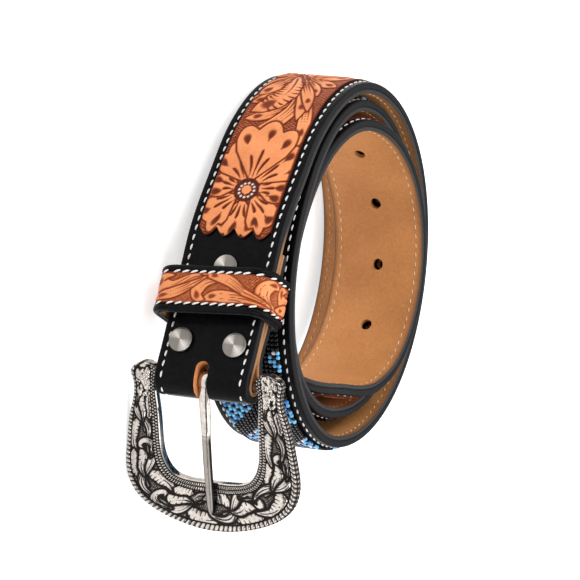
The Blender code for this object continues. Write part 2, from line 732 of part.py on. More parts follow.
    screws = [screw_object(name, length, height, steel, belt) for name, length, height in SCREW_PLACES]

    parts = [strap, lining, front_overlay, tip_overlay, panel, *keeper_parts, buckle, prong, *screws]
    turn = resting_turn(parts, [buckle, prong, *screws])
    stand = bpy.data.objects.new("belt_on_floor", None)
    belt.objects.link(stand)
    for thing in [*belt.objects, *cutters.objects]:
        if thing.parent is None and thing is not stand:
            thing.parent = stand
    stand.matrix_world = Matrix.Rotation(-BILLET_ANGLE, 4, "Z") @ turn
    bpy.context.view_layer.update()
    depsgraph = bpy.context.evaluated_depsgraph_get()
    corners = []
    for thing in parts:
        corners += world_mesh(thing, depsgraph)[0]
    low = Vector([min(c[i] for c in corners) for i in range(3)])
    high = Vector([max(c[i] for c in corners) for i in range(3)])
    shift = Vector((-(low.x + high.x) / 2, -(low.y + high.y) / 2, -low.z))
    stand.matrix_world = Matrix.Translation(shift) @ stand.matrix_world
    bpy.context.view_layer.update()


build()
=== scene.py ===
# %% [markdown]
# # A western tooled belt, coiled on a table
# The belt is one long strap of black leather with a tan lining. On its outer face lie two strips of
# tooled leather and a beaded panel, and its front end folds round the bar of a cast silver buckle.
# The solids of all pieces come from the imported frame. This lesson dresses them: every strip gets a
# smooth, dense mesh on the same route, with its tooling, stitches and beads modelled on it.

# %% Load the frame
import json
import math

import bpy
import numpy as np
from mathutils import Matrix, Vector


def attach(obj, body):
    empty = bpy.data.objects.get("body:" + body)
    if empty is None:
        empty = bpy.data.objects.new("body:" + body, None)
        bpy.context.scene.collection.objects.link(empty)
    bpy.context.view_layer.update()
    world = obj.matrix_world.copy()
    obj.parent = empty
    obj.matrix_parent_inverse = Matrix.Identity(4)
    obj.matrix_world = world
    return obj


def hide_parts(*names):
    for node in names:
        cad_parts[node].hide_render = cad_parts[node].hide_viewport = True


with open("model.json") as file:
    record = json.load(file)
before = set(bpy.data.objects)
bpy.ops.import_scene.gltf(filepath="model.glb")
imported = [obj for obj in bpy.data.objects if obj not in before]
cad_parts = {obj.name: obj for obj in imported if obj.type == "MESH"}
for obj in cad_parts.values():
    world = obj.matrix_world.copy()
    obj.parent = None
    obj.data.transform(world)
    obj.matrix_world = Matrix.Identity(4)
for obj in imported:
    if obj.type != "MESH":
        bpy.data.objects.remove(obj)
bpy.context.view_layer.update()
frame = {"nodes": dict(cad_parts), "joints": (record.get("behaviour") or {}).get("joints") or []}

# %% [markdown]
# ## Sizes
# These are the belt's own sizes, as a maker would write them down: the strap is a standard 1.5 inch
# belt. Lengths along the belt run from the buckle's bar to the tip.

# %% Sizes of the leather
MM = 0.001
STRAP_WIDTH = 38.1 * MM
HALF_WIDTH = STRAP_WIDTH / 2
STRAP_THICKNESS = 2.6 * MM
LINING_THICKNESS = 1.5 * MM
OVERLAY_THICKNESS = 1.0 * MM
PANEL_THICKNESS = 1.5 * MM
BORDER = 4.4 * MM
LAYER_GAP = 0.3 * MM
TURN_GAP = 0.5 * MM
STITCH_INSET = 2.9 * MM
STITCH_PITCH = 3.75 * MM

# %% Sizes of the coil, the billet and the tab
COIL_WIDTH = 139.6 * MM
COIL_BACK_DEPTH = 69.2 * MM
COIL_FRONT_DEPTH = 58.0 * MM
BILLET_ANGLE = math.radians(-16.0)
BILLET_LENGTH = 53.0 * MM
BAR_ACROSS = 47.9 * MM
BAR_FORWARD = 74.4 * MM
TAB_LENGTH = 50.0 * MM
TAB_CLOSES_AT = 8.6 * MM
FOLD_WRAP = math.radians(122.0)
BAR_RADIUS = 1.9 * MM
BAR_CLEARANCE = 0.3 * MM

# %% Lengths along the strap
OVERLAY_START = 53.0 * MM
OVERLAY_END = 326.0 * MM
BEADS_START = 338.0 * MM
BEADS_END = 716.0 * MM
TIP_OVERLAY_START = 728.0 * MM
SCALLOP_COUNT = 4
SCALLOP_DEPTH = 3.2 * MM
TIP_TAPER = 58.0 * MM
FIRST_HOLE_FROM_TIP = 77.0 * MM
HOLE_PITCH = 25.4 * MM
HOLE_COUNT = 5
HOLE_RADIUS = 2.25 * MM
TIP_OUTLINE = ((0.0, 1.0), (0.3, 0.97), (0.55, 0.86), (0.75, 0.68), (0.9, 0.44), (0.97, 0.26), (1.0, 0.12))

# %% Distances from the seam between strap and lining
SEAM_RADIUS = BAR_RADIUS + BAR_CLEARANCE + LINING_THICKNESS + LAYER_GAP / 2
STRAP_OUTSIDE = LAYER_GAP / 2 + STRAP_THICKNESS
OVERLAY_INSIDE = STRAP_OUTSIDE + LAYER_GAP
TURN_PITCH = (LINING_THICKNESS + 2 * LAYER_GAP + STRAP_THICKNESS
              + max(OVERLAY_THICKNESS, PANEL_THICKNESS) + TURN_GAP)
STACK_FRONT = -(SEAM_RADIUS + STRAP_OUTSIDE)
TAB_SEAM = -SEAM_RADIUS + 2 * LINING_THICKNESS + 2 * LAYER_GAP
STACK_BACK = TAB_SEAM + STRAP_OUTSIDE
print("turn pitch", round(TURN_PITCH / MM, 2), "mm, billet front", round(STACK_FRONT / MM, 2), "mm")

# %% [markdown]
# ## The route of the belt
# Seen from above, the belt is one line: the seam between strap and lining. It starts at the end of the
# folded tab, goes round the bar, along the straight billet and then winds inward. A spline through a
# few points would do for a single curve, but a table of turns says how far each turn lies inside the
# last one, which is how a belt really coils.

# %% How the belt winds
WINDING = (
    # turns  layers  slack   lift
    (0.075,  0.0,   -0.012,  0.00),
    (0.125,  0.0,    0.002,  0.00),
    (0.250,  0.0,    0.000,  0.00),
    (0.500,  0.0,    0.000, -0.02),
    (0.750,  0.0,    0.004,  0.00),
    (0.875,  0.0,    0.036,  0.00),
    (1.000,  0.0,    0.070,  0.00),
    (1.060,  0.5,    0.058, -0.01),
    (1.125,  1.0,    0.018, -0.02),
    (1.250,  1.0,    0.002, -0.04),
    (1.500,  1.0,    0.002, -0.10),
    (1.625,  1.0,    0.008, -0.10),
    (1.750,  1.0,    0.062, -0.09),
    (1.875,  1.0,    0.044, -0.09),
    (2.000,  1.0,    0.080, -0.10),
    (2.060,  1.5,    0.068, -0.09),
    (2.125,  2.0,    0.034, -0.07),
    (2.250,  2.0,    0.010,  0.02),
    (2.500,  2.0,    0.006,  0.13),
    (2.625,  2.0,    0.014,  0.12),
    (2.690,  2.0,    0.056,  0.11),
    (2.750,  2.0,    0.098,  0.10),
    (2.800,  2.0,    0.072,  0.08),
    (2.840,  2.0,    0.050,  0.06),
)

# %% Lengths along a line, directions one unit long, and angles of a turn
def reach_along(points):
    """The length from a line's first point to each of its points."""
    return np.concatenate(([0.0], np.cumsum(np.linalg.norm(np.diff(points, axis=0), axis=1))))


def unit(rows):
    """Each row, a direction, made one unit long."""
    return rows / np.linalg.norm(rows, axis=1, keepdims=True)


def full_turn(count):
    """Angles evenly round a full turn."""
    return np.linspace(0, 2 * math.pi, count, endpoint=False)


# %% A smooth line through rows of values
def spline(knots, values, at):
    """Natural cubic spline through rows of values, read at the places in at."""
    step = np.diff(knots)
    slope = np.diff(values, axis=0) / step[:, None]
    count = len(knots)
    matrix = np.eye(count)
    right = np.zeros_like(values)
    for row in range(1, count - 1):
        matrix[row, row - 1] = step[row - 1]
        matrix[row, row] = 2 * (step[row - 1] + step[row])
        matrix[row, row + 1] = step[row]
        right[row] = 6 * (slope[row] - slope[row - 1])
    bend = np.linalg.solve(matrix, right)
    span = np.clip(np.searchsorted(knots, at, side="right") - 1, 0, count - 2)
    width = step[span][:, None]
    after = (at - knots[span])[:, None]
    before = width - after
    return (bend[span] * before ** 3 / (6 * width) + bend[span + 1] * after ** 3 / (6 * width)
            + (values[span] / width - bend[span] * width / 6) * before
            + (values[span + 1] / width - bend[span + 1] * width / 6) * after)


# %% Points of the coil, seen from above
COIL_KNOTS = 92


def coil_point(turns, inset):
    """A point on the coil's oval after so many turns from the front, moved inward along its normal."""
    half = COIL_WIDTH / 2
    angle = -math.pi / 2 - 2 * math.pi * turns
    depth = COIL_BACK_DEPTH if math.sin(angle) > 0 else COIL_FRONT_DEPTH
    point = np.array((half * math.cos(angle), depth * math.sin(angle)))
    normal = np.array((depth * math.cos(angle), half * math.sin(angle)))
    return point - inset * normal / np.linalg.norm(normal)


ALONG = np.array((math.cos(BILLET_ANGLE), math.sin(BILLET_ANGLE)))
INSIDE = np.array((-ALONG[1], ALONG[0]))
BAR = np.array((BAR_ACROSS, -BAR_FORWARD))


def belt_route():
    """Lengths from the bar, with the seam's plan points and lifts there."""
    tab_lengths = np.linspace(TAB_LENGTH, TAB_CLOSES_AT, 5)
    points = [BAR - ALONG * length + INSIDE * TAB_SEAM for length in tab_lengths]
    for angle in np.linspace(FOLD_WRAP, -math.pi / 2, 10):
        points.append(BAR + SEAM_RADIUS * (ALONG * math.cos(angle) + INSIDE * math.sin(angle)))
    front_of_fold = len(points) - 1
    for length in np.linspace(0, BILLET_LENGTH, 7)[1:]:
        points.append(BAR - ALONG * length - INSIDE * SEAM_RADIUS)
    lifts = [0.0] * len(points)
    winding = np.array(WINDING)
    turns = np.linspace(winding[0, 0], winding[-1, 0], COIL_KNOTS)
    for turn, (layers, slack, lift) in zip(turns, spline(winding[:, 0], winding[:, 1:], turns)):
        points.append(coil_point(turn, layers * TURN_PITCH + slack * COIL_WIDTH / 2 + STRAP_OUTSIDE))
        lifts.append(lift * STRAP_WIDTH)
    points = np.array(points)
    reach = reach_along(points)
    return reach - reach[front_of_fold], np.column_stack((points, lifts))


KNOTS, ROUTE = belt_route()
BELT_START = KNOTS[0]
BELT_END = KNOTS[-1]
print("belt", round((BELT_END - BELT_START) / MM), "mm, tip", round(BELT_END / MM), "mm from the bar")

# %% [markdown]
# ## Where the coil stands
# The coil leans a little, because it rests on the buckle's lower corner. Its lean isn't typed in here:
# the three screws of the frame show it. Their middles lie in the billet's face, two side by side near
# the bar and one further back, so they give the billet's directions, and their caps give its depth.

# %% Read the billet's place from the screws
SCREW_RADIUS = 4.7 * MM
SCREW_CAP = 1.5 * MM
SCREW_FRONT = 12.6 * MM
SCREW_MIDDLE = 41.6 * MM
SCREW_PLACES = (("screw_lower", SCREW_FRONT, -11.0 * MM),
                ("screw_upper", SCREW_FRONT, 11.0 * MM),
                ("screw_middle", SCREW_MIDDLE, 0.0))


def corners_of(node):
    points = np.array([v.co for v in frame["nodes"][node].data.vertices])
    return np.unique(np.round(points, 6), axis=0)


lower, upper, back = (corners_of(name).mean(axis=0) for name, _, _ in SCREW_PLACES)
up_axis = (upper - lower) / np.linalg.norm(upper - lower)
front = (lower + upper) / 2 - back
front -= up_axis * (front @ up_axis)
along_axis = front / np.linalg.norm(front)
inside_axis = np.cross(up_axis, along_axis)
caps = np.concatenate([corners_of(name) @ inside_axis for name, _, _ in SCREW_PLACES])
depth = caps.min() - (STACK_FRONT - LAYER_GAP - SCREW_CAP)
middle = (lower + upper) / 2
bar_point = (along_axis * (middle @ along_axis + SCREW_FRONT) + up_axis * (middle @ up_axis)
             + inside_axis * depth)
BILLET = Matrix([[*row] for row in np.column_stack((along_axis, inside_axis, up_axis, bar_point))]
                + [[0, 0, 0, 1]])
coil_billet = Matrix(((ALONG[0], INSIDE[0], 0, BAR[0]), (ALONG[1], INSIDE[1], 0, BAR[1]),
                      (0, 0, 1, HALF_WIDTH), (0, 0, 0, 1)))
STAND = BILLET @ coil_billet.inverted()
hinge = Vector(frame["joints"][0]["pos_m"])
print("bar at", [round(v, 4) for v in bar_point], "off the hinge by",
      round((Vector(bar_point) - hinge).length / MM, 2), "mm")

# %% Places on the belt
NUDGE = 0.05 * MM
STAND_TURN = np.array(STAND.to_3x3())
STAND_SHIFT = np.array(STAND.translation)


def on_belt(s, across, outward):
    """Points in the frame at a length along the belt, a height across it and a distance off its seam."""
    s, across, outward = np.broadcast_arrays(s, across, outward)
    flat_s = s.ravel()
    here = spline(KNOTS, ROUTE, flat_s)
    tangent = unit(spline(KNOTS, ROUTE, flat_s + NUDGE)[:, :2] - spline(KNOTS, ROUTE, flat_s - NUDGE)[:, :2])
    normal = np.column_stack((-tangent[:, 1], tangent[:, 0]))
    plan = here[:, :2] + normal * outward.ravel()[:, None]
    coil = np.column_stack((plan, here[:, 2] + HALF_WIDTH + across.ravel()))
    return (coil @ STAND_TURN.T + STAND_SHIFT).reshape(*s.shape, 3)


def half_width(s, border=0.0):
    """Half the strap's width at a length, less a border that follows the tapered tip."""
    share = (np.asarray(s) + border - (BELT_END - TIP_TAPER)) / TIP_TAPER
    lengths, widths = np.array(TIP_OUTLINE).T
    return HALF_WIDTH * np.interp(share, lengths, widths) - border


# %% [markdown]
# ## Meshes from rings
# Almost every piece here is a body swept through rings of points: a strap, a keeper, a buckle's rail.
# One helper builds them all, with flat caps or closed on itself, and it can store a value for each
# point, such as how dark the leather is stained there. Materials read that value.

# %% Ring meshes and objects
def new_mesh(name, points, faces, values=None):
    """A mesh from points and faces; values are named numbers for each point."""
    mesh = bpy.data.meshes.new(name)
    mesh.from_pydata(points.reshape(-1, 3).tolist(), [], faces)
    for key, numbers in (values or {}).items():
        store = mesh.attributes.new(key, "FLOAT", "POINT")
        store.data.foreach_set("value", np.asarray(numbers, np.float32).ravel())
    return mesh


def ring_mesh(name, rings, closed=False, values=None):
    """A body through rings, shape (rings, points, 3), with flat caps unless it closes on itself."""
    count, width = rings.shape[:2]
    index = np.arange(count * width).reshape(count, width)
    after = np.roll(index, -1, axis=0) if closed else index[1:]
    before = index if closed else index[:-1]
    faces = np.stack((before, np.roll(before, -1, axis=1), np.roll(after, -1, axis=1), after), axis=-1)
    faces = faces.reshape(-1, 4).tolist()
    if not closed:
        faces.append(index[0][::-1].tolist())
        faces.append(index[-1].tolist())
    return finished(new_mesh(name, rings, faces, values))


def finished(mesh, sharp=50):
    """Outward faces, smooth shading and sharp edges where faces meet steeply."""
    mesh.validate()
    mesh.update()
    volume = sum(p.center.dot(p.normal) * p.area for p in mesh.polygons)
    if volume < 0:
        mesh.flip_normals()
    mesh.shade_smooth()
    mesh.set_sharp_from_angle(angle=math.radians(sharp))
    return mesh


def placed(name, data, matrix=None):
    """A new object in the scene, moved to its place if one is given."""
    thing = bpy.data.objects.new(name, data)
    bpy.context.scene.collection.objects.link(thing)
    if matrix is not None:
        thing.matrix_world = matrix
    return thing


def piece(name, mesh, material, body, slot, *nodes):
    """An object that rides on a body of the frame and stands for some of its nodes."""
    mesh.materials.clear()
    mesh.materials.append(material)
    thing = placed(name, mesh)
    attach(thing, body)
    if nodes:
        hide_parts(*nodes)
    print(name, len(mesh.polygons), "faces")
    return thing


# %% [markdown]
# ## Finishes
# Each finish is a small tree of shader nodes on Blender's Principled shader. Colours vary with noise
# at the size of the real grain, and bump carries what is too fine to model, such as pores and brush
# marks. Numbers that are the same everywhere go straight on the shader's sockets.

# %% Helpers for shader trees
def fill_ramp(band, stops):
    """Sets the stops of a colour ramp, each a place and a colour."""
    for k, (place, colour) in enumerate(stops):
        stop = band.elements[k] if k < 2 else band.elements.new(place)
        stop.position = place
        stop.color = (*colour, 1)


class Finish:
    """A material whose nodes are added one after another."""

    def __init__(self, name, roughness, metallic=0.0):
        self.material = bpy.data.materials.new(name)
        self.material.use_nodes = True
        self.tree = self.material.node_tree
        self.shader = self.tree.nodes["Principled BSDF"]
        self.set(Roughness=roughness, Metallic=metallic)
        self.place = self.node("TexCoord").outputs["Object"]

    def set(self, **sockets):
        for key, value in sockets.items():
            self.shader.inputs[key.replace("_", " ")].default_value = value

    def link(self, output, key):
        self.tree.links.new(output, self.shader.inputs[key])

    def node(self, kind, key=None, output=None, **sockets):
        """A new node, with an output led into its socket of that key and its other sockets set."""
        node = self.tree.nodes.new("ShaderNode" + kind)
        for name, value in sockets.items():
            node.inputs[name.replace("_", " ")].default_value = value
        if key:
            self.tree.links.new(output, node.inputs[key])
        return node

    def value(self, name, kind="Fac"):
        node = self.node("Attribute")
        node.attribute_name = name
        return node.outputs[kind]

    def noise(self, size, detail=3.0, roughness=0.55):
        scale = 1 / size
        node = self.node("TexNoise", "Vector", self.place, Scale=scale, Detail=detail, Roughness=roughness)
        return node.outputs["Fac"]

    def pebbles(self, size):
        return self.node("TexVoronoi", "Vector", self.place, Scale=1 / size).outputs["Distance"]

    def span(self, value, low, high, start=0.0, end=1.0):
        node = self.node("MapRange", "Value", value, From_Min=low, From_Max=high, To_Min=start, To_Max=end)
        return node.outputs["Result"]

    def sum(self, first, second, share):
        node = self.node("Math")
        node.operation = "MULTIPLY_ADD"
        self.tree.links.new(second, node.inputs[0])
        node.inputs[1].default_value = share
        self.tree.links.new(first, node.inputs[2])
        return node.outputs[0]

    def ramp(self, value, *stops):
        node = self.node("ValToRGB", "Fac", value)
        fill_ramp(node.color_ramp, stops)
        return node.outputs["Color"]

    def mix(self, value, first, second):
        node = self.node("Mix")
        node.data_type = "RGBA"
        self.tree.links.new(value, node.inputs["Factor"])
        for key, colour in (("A", first), ("B", second)):
            socket = [s for s in node.inputs if s.name == key and s.type == "RGBA"][0]
            if isinstance(colour, tuple):
                socket.default_value = (*colour, 1)
            else:
                self.tree.links.new(colour, socket)
        return [s for s in node.outputs if s.type == "RGBA"][0]

    def bump(self, value, depth, strength=1.0):
        node = self.node("Bump", "Height", value, Distance=depth, Strength=strength)
        self.link(node.outputs["Normal"], "Normal")


# %% Black leather, with charcoal where its cut edge was dyed and rubbed
BLACK = (0.0012, 0.0012, 0.0016)
BLACK_WORN = (0.0034, 0.0034, 0.0042)
CHARCOAL = (0.012, 0.0125, 0.014)
RAW_LEATHER = (0.62, 0.25, 0.10)


def black_leather(name):
    finish = Finish(name, 0.34)
    grain = finish.noise(2.2 * MM, 4.0)
    face = finish.ramp(grain, (0.35, BLACK), (0.75, BLACK_WORN))
    dyed = finish.mix(finish.value("edge"), face, CHARCOAL)
    finish.link(finish.mix(finish.value("raw"), dyed, RAW_LEATHER), "Base Color")
    finish.link(finish.span(grain, 0.3, 0.8, 0.27, 0.42), "Roughness")
    pores = finish.sum(finish.pebbles(0.55 * MM), finish.noise(1.1 * MM, 5.0), 1.2)
    finish.bump(pores, 0.14 * MM, 0.55)
    finish.set(Specular_IOR_Level=0.025, Coat_Weight=0.035, Coat_Roughness=0.10)
    return finish.material


# %% Tan leather of the lining, dyed dark along its edges
LINING_LIGHT = (0.51, 0.228, 0.074)
LINING_DARK = (0.31, 0.124, 0.035)


def tan_leather(name):
    finish = Finish(name, 0.55)
    fibres = finish.noise(1.2 * MM, 6.0, 0.7)
    clouds = finish.noise(28 * MM, 2.0)
    shade = finish.sum(fibres, clouds, 1.0)
    hide = finish.ramp(finish.span(shade, 0.65, 1.35), (0.0, LINING_DARK), (1.0, LINING_LIGHT))
    finish.link(finish.mix(finish.value("edge"), hide, CHARCOAL), "Base Color")
    finish.link(finish.span(fibres, 0.3, 0.7, 0.50, 0.66), "Roughness")
    finish.bump(fibres, 0.30 * MM, 0.9)
    finish.set(Specular_IOR_Level=0.3)
    return finish.material


# %% Tooled leather: light where it stands, dark brown where the stain settled
TOOLED_LIGHT = (0.66, 0.252, 0.100)
TOOLED_SHADE = (0.50, 0.162, 0.057)
STAIN_EDGE = (0.21, 0.036, 0.008)
STAIN_DEEP = (0.055, 0.009, 0.003)
WHITE_DOT = (0.86, 0.80, 0.74)


def tooled_leather(name):
    finish = Finish(name, 0.5)
    grain = finish.noise(0.9 * MM, 6.0, 0.6)
    clouds = finish.noise(14 * MM, 3.0)
    shade = finish.sum(grain, clouds, 1.4)
    hide = finish.ramp(finish.span(shade, 0.8, 1.6), (0.0, TOOLED_SHADE), (1.0, TOOLED_LIGHT))
    stain = finish.value("stain")
    soaked = finish.ramp(stain, (0.55, STAIN_EDGE), (1.0, STAIN_DEEP))
    tanned = finish.mix(finish.span(stain, 0.12, 0.6), hide, soaked)
    finish.link(finish.mix(finish.value("dot"), tanned, WHITE_DOT), "Base Color")
    finish.link(finish.span(stain, 0.2, 1.0, 0.42, 0.6), "Roughness")
    finish.bump(grain, 0.10 * MM, 0.45)
    finish.set(Specular_IOR_Level=0.10)
    return finish.material


# %% Antique silver, brushed nickel, thread and glass beads
SILVER = (0.47, 0.43, 0.395)
SILVER_DULL = (0.33, 0.30, 0.275)
SILVER_BLACK = (0.014, 0.012, 0.011)


def antique_silver(name):
    finish = Finish(name, 0.3, 1.0)
    wear = finish.noise(1.6 * MM, 5.0, 0.6)
    bright = finish.ramp(wear, (0.35, SILVER_DULL), (0.6, SILVER))
    blackening = finish.sum(finish.value("blackening"), wear, 0.18)
    finish.link(finish.mix(finish.span(blackening, 0.25, 0.75), bright, SILVER_BLACK), "Base Color")
    finish.link(finish.span(blackening, 0.1, 0.9, 0.14, 0.5), "Roughness")
    finish.bump(finish.noise(0.35 * MM, 4.0), 0.05 * MM, 0.35)
    return finish.material


# Grey nickel, and a painted highlight: two light wedge shapes round each cap's axis, set in its colour.
NICKEL_GREY = (0.17, 0.158, 0.142)
NICKEL_PAINTED_HIGHLIGHT = (0.56, 0.53, 0.49)
NICKEL_MARKS = (0.10, 0.092, 0.082)
NICKEL_PAINTED_HIGHLIGHT_STOPS = ((0.0, NICKEL_GREY), (0.13, NICKEL_PAINTED_HIGHLIGHT), (0.26, NICKEL_GREY), (0.48, NICKEL_GREY),
                (0.62, NICKEL_PAINTED_HIGHLIGHT), (0.76, NICKEL_GREY), (1.0, NICKEL_GREY))


def brushed_nickel(name):
    """Turned metal: fine rings, and a painted highlight: two light wedge shapes set in the colour, as such
    rings show under soft light.
    """
    finish = Finish(name, 0.36, 1.0)
    turning = finish.node("Tangent")
    turning.direction_type = "RADIAL"
    turning.axis = "Z"
    finish.link(turning.outputs["Tangent"], "Tangent")
    rings = finish.node("TexWave", "Vector", finish.place, Scale=1 / (2.2 * MM), Distortion=1.5, Detail=4.0)
    rings.wave_type = "RINGS"
    rings.rings_direction = "Z"
    marks = finish.sum(rings.outputs["Fac"], finish.noise(0.3 * MM, 4.0), 0.6)
    # A radial gradient paints the two highlight wedge shapes into the base colour, the same on every screw.
    sweep = finish.node("TexGradient", "Vector", finish.place)
    sweep.gradient_type = "RADIAL"
    painted_highlight_wedges = finish.ramp(sweep.outputs["Fac"], *NICKEL_PAINTED_HIGHLIGHT_STOPS)
    finish.link(finish.mix(finish.span(marks, 0.3, 1.3, 0.0, 0.35), painted_highlight_wedges, NICKEL_MARKS), "Base Color")
    finish.bump(marks, 0.04 * MM, 0.6)
    finish.set(Anisotropic=0.75)
    return finish.material


def thread(name, shade, light):
    finish = Finish(name, 0.6)
    twist = finish.noise(0.35 * MM, 3.0)
    finish.link(finish.ramp(twist, (0.3, shade), (0.7, light)), "Base Color")
    finish.bump(twist, 0.08 * MM, 0.5)
    return finish.material


def glass_beads(name):
    finish = Finish(name, 0.12)
    finish.link(finish.value("glass", "Color"), "Base Color")
    finish.set(Coat_Weight=0.08, Coat_Roughness=0.05, Specular_IOR_Level=0.14)
    finish.bump(finish.noise(0.4 * MM, 2.0), 0.02 * MM, 0.2)
    return finish.material


black = black_leather("black_leather")
tan = tan_leather("tan_lining_leather")
tooled = tooled_leather("tooled_leather")
silver = antique_silver("antique_silver")
nickel = brushed_nickel("brushed_nickel")
white_thread = thread("white_thread", (0.42, 0.41, 0.39), (0.74, 0.73, 0.71))
cream_thread = thread("cream_thread", (0.40, 0.27, 0.15), (0.74, 0.60, 0.42))
beads = glass_beads("glass_beads")
print("finishes", len(bpy.data.materials))

# %% [markdown]
# ## Strap and lining
# The strap and its lining are cut together, sewn near both edges and rubbed round at the edge. Each is
# one ring of points carried along the route: a wide round on the outer corner, a small one at the seam
# so that a fine line shows where the two leathers meet, and a shallow channel under each row of stitches.
# The lining's cut edge was dyed with the strap's, but only lightly along the billet.

# %% One ring of the strap and one of the lining
STATION = 1.6 * MM
CHANNEL_WIDTH = 0.9 * MM
CHANNEL_DEPTH = 0.22 * MM
SEAM_SLIT = 0.03 * MM
STRAP_EDGE_RADIUS = 0.9 * MM
LINING_EDGE_RADIUS = 0.5 * MM
SEAM_EDGE_RADIUS = 0.35 * MM
DYED_REACH = 0.8 * MM
BILLET_EDGE_DYE = 0.45
BILLET_DYE_UNTIL = 48 * MM
FULL_DYE_FROM = 60 * MM


def leather_ring(inside, outside, edge_radius, seam_radius):
    """Ring of distance from the seam and inset from the strap's edge, with the side of the strap."""
    way = np.sign(outside)
    channel = [(outside, STITCH_INSET + CHANNEL_WIDTH), (outside - CHANNEL_DEPTH * way, STITCH_INSET),
               (outside, STITCH_INSET - CHANNEL_WIDTH)]
    corner = [(outside - way * edge_radius * (1 - math.sin(a)), edge_radius * (1 - math.cos(a)))
              for a in np.linspace(math.pi / 2, 0, 5)]
    seam = [(inside + way * seam_radius * (1 - math.sin(a)), seam_radius * (1 - math.cos(a)))
            for a in np.linspace(0, math.pi / 2, 3)]
    side = channel + corner + seam
    return [(d, inset, 1) for d, inset in side] + [(d, inset, -1) for d, inset in side[::-1]]


def swept_leather(name, ring, stations, dye=1.0):
    """A long leather piece; dye is how dark its cut edge was dyed, all along or at each station."""
    distance, inset, side = np.array(ring).T
    half = half_width(stations)[:, None]
    trim = np.minimum(inset[None, :], half * 0.6)
    across = side[None, :] * (half - trim)
    rings = on_belt(stations[:, None], across, distance[None, :])
    edge = np.clip(1.15 - inset / DYED_REACH, 0, 1) * dye
    return ring_mesh(name, rings, values={"edge": np.broadcast_to(edge, across.shape)})


stations = np.linspace(BELT_START, BELT_END, int((BELT_END - BELT_START) / STATION))
strap_ring = leather_ring(SEAM_SLIT, STRAP_OUTSIDE, STRAP_EDGE_RADIUS, SEAM_EDGE_RADIUS)
strap_mesh = swept_leather("strap", strap_ring, stations)
lining_outside = -LAYER_GAP / 2 - LINING_THICKNESS
lining_ring = leather_ring(-SEAM_SLIT, lining_outside, LINING_EDGE_RADIUS, SEAM_EDGE_RADIUS)
lining_dye = np.interp(stations, (BILLET_DYE_UNTIL, FULL_DYE_FROM), (BILLET_EDGE_DYE, 1.0))[:, None]
lining_mesh = swept_leather("lining", lining_ring, stations, lining_dye)
print("stations", len(stations))

# %% [markdown]
# The prong needs a slot through the fold, and the tip has five punched holes. They could be left as
# dark discs, but a punched hole shows its wall, so they are cut with boolean modifiers and then
# applied: the mesh that is kept has real holes.

# %% Cut the slot and the holes
PRONG_WIDTH = 4.4 * MM
SLOT_CLEARANCE = 0.45 * MM
SLOT_BACK = 5.6 * MM
SLOT_FRONT = 12 * MM
SLOT_CUTTER_LENGTH = 24 * MM
PUNCH_LENGTH = 12 * MM
RAW_DEPTH = 9 * MM


def prism(name, sides, radius, length, matrix, longer=0.0):
    """A prism along its own Z, for cutting: round, or lengthened along X between its two half rounds."""
    angles = full_turn(sides) + math.pi / sides
    shift = np.sign(np.cos(angles)) * longer / 2
    ring = np.column_stack((radius * np.cos(angles) + shift, radius * np.sin(angles)))
    rows = [np.column_stack((ring, np.full(sides, z))) for z in (-length / 2, length / 2)]
    return placed(name, ring_mesh(name, np.array(rows)), matrix)


def hole_matrix(s):
    """Place of a punched hole, with Z out of the strap."""
    inner, outer = on_belt(np.array((s, s)), 0.0, np.array((-2 * MM, 5 * MM)))
    turn = Vector((0, 0, 1)).rotation_difference(Vector(outer - inner)).to_matrix().to_4x4()
    return Matrix.Translation((Vector(inner) + Vector(outer)) / 2) @ turn


def with_cuts(mesh, cutters):
    """The mesh after the cutters are taken out of it by boolean modifiers."""
    thing = placed("cutting", mesh)
    for cutter in cutters:
        modifier = thing.modifiers.new(cutter.name, "BOOLEAN")
        modifier.operation = "DIFFERENCE"
        modifier.solver = "EXACT"
        modifier.object = cutter
    bpy.context.view_layer.update()
    cut = bpy.data.meshes.new_from_object(thing.evaluated_get(bpy.context.evaluated_depsgraph_get()))
    cut.name = mesh.name
    bpy.data.objects.remove(thing)
    return cut


slot_width = PRONG_WIDTH + 2 * SLOT_CLEARANCE
slot_reach = SLOT_BACK + SLOT_FRONT
QUARTER_TURN = Matrix.Rotation(math.pi / 2, 4, "X")
slot_matrix = BILLET @ Matrix.Translation((slot_reach / 2 - SLOT_BACK, 0, 0)) @ QUARTER_TURN
slot_cut = prism("slot_cut", 48, slot_width / 2, SLOT_CUTTER_LENGTH, slot_matrix, slot_reach - slot_width)
hole_places = [BELT_END - FIRST_HOLE_FROM_TIP - k * HOLE_PITCH for k in range(HOLE_COUNT)]
punches = [prism("punch_%d" % k, 24, HOLE_RADIUS, PUNCH_LENGTH, hole_matrix(s))
           for k, s in enumerate(hole_places)]
strap_mesh = with_cuts(strap_mesh, [slot_cut, *punches])
lining_mesh = with_cuts(lining_mesh, [slot_cut, *punches])


def mark_raw(mesh):
    """Marks the walls of the slot, where the knife left undyed leather, in the corners of their faces."""
    store = mesh.attributes.new("raw", "FLOAT", "CORNER")
    to_slot = slot_matrix.inverted()
    reach = (slot_reach * 0.52, slot_width * 0.52, RAW_DEPTH)
    for face in mesh.polygons:
        place = to_slot @ face.center
        turn = to_slot.to_3x3() @ face.normal
        within = all(abs(place[k]) < reach[k] for k in range(3))
        if within and abs(turn.z) < 0.35:
            for corner in face.loop_indices:
                store.data[corner].value = 1.0


mark_raw(strap_mesh)
piece("belt_strap", finished(strap_mesh), black, "belt", "black_leather", "strap")
piece("belt_lining", finished(lining_mesh), tan, "belt", "tan_lining", "lining")

# %% [markdown]
# ## Stitches
# Thick waxed thread runs along both edges, on the outer face and again on the lining. A stitch is a
# short rounded grain that dips into the leather at both ends. All of them are copies of one small
# mesh, set along the route and joined into one piece.

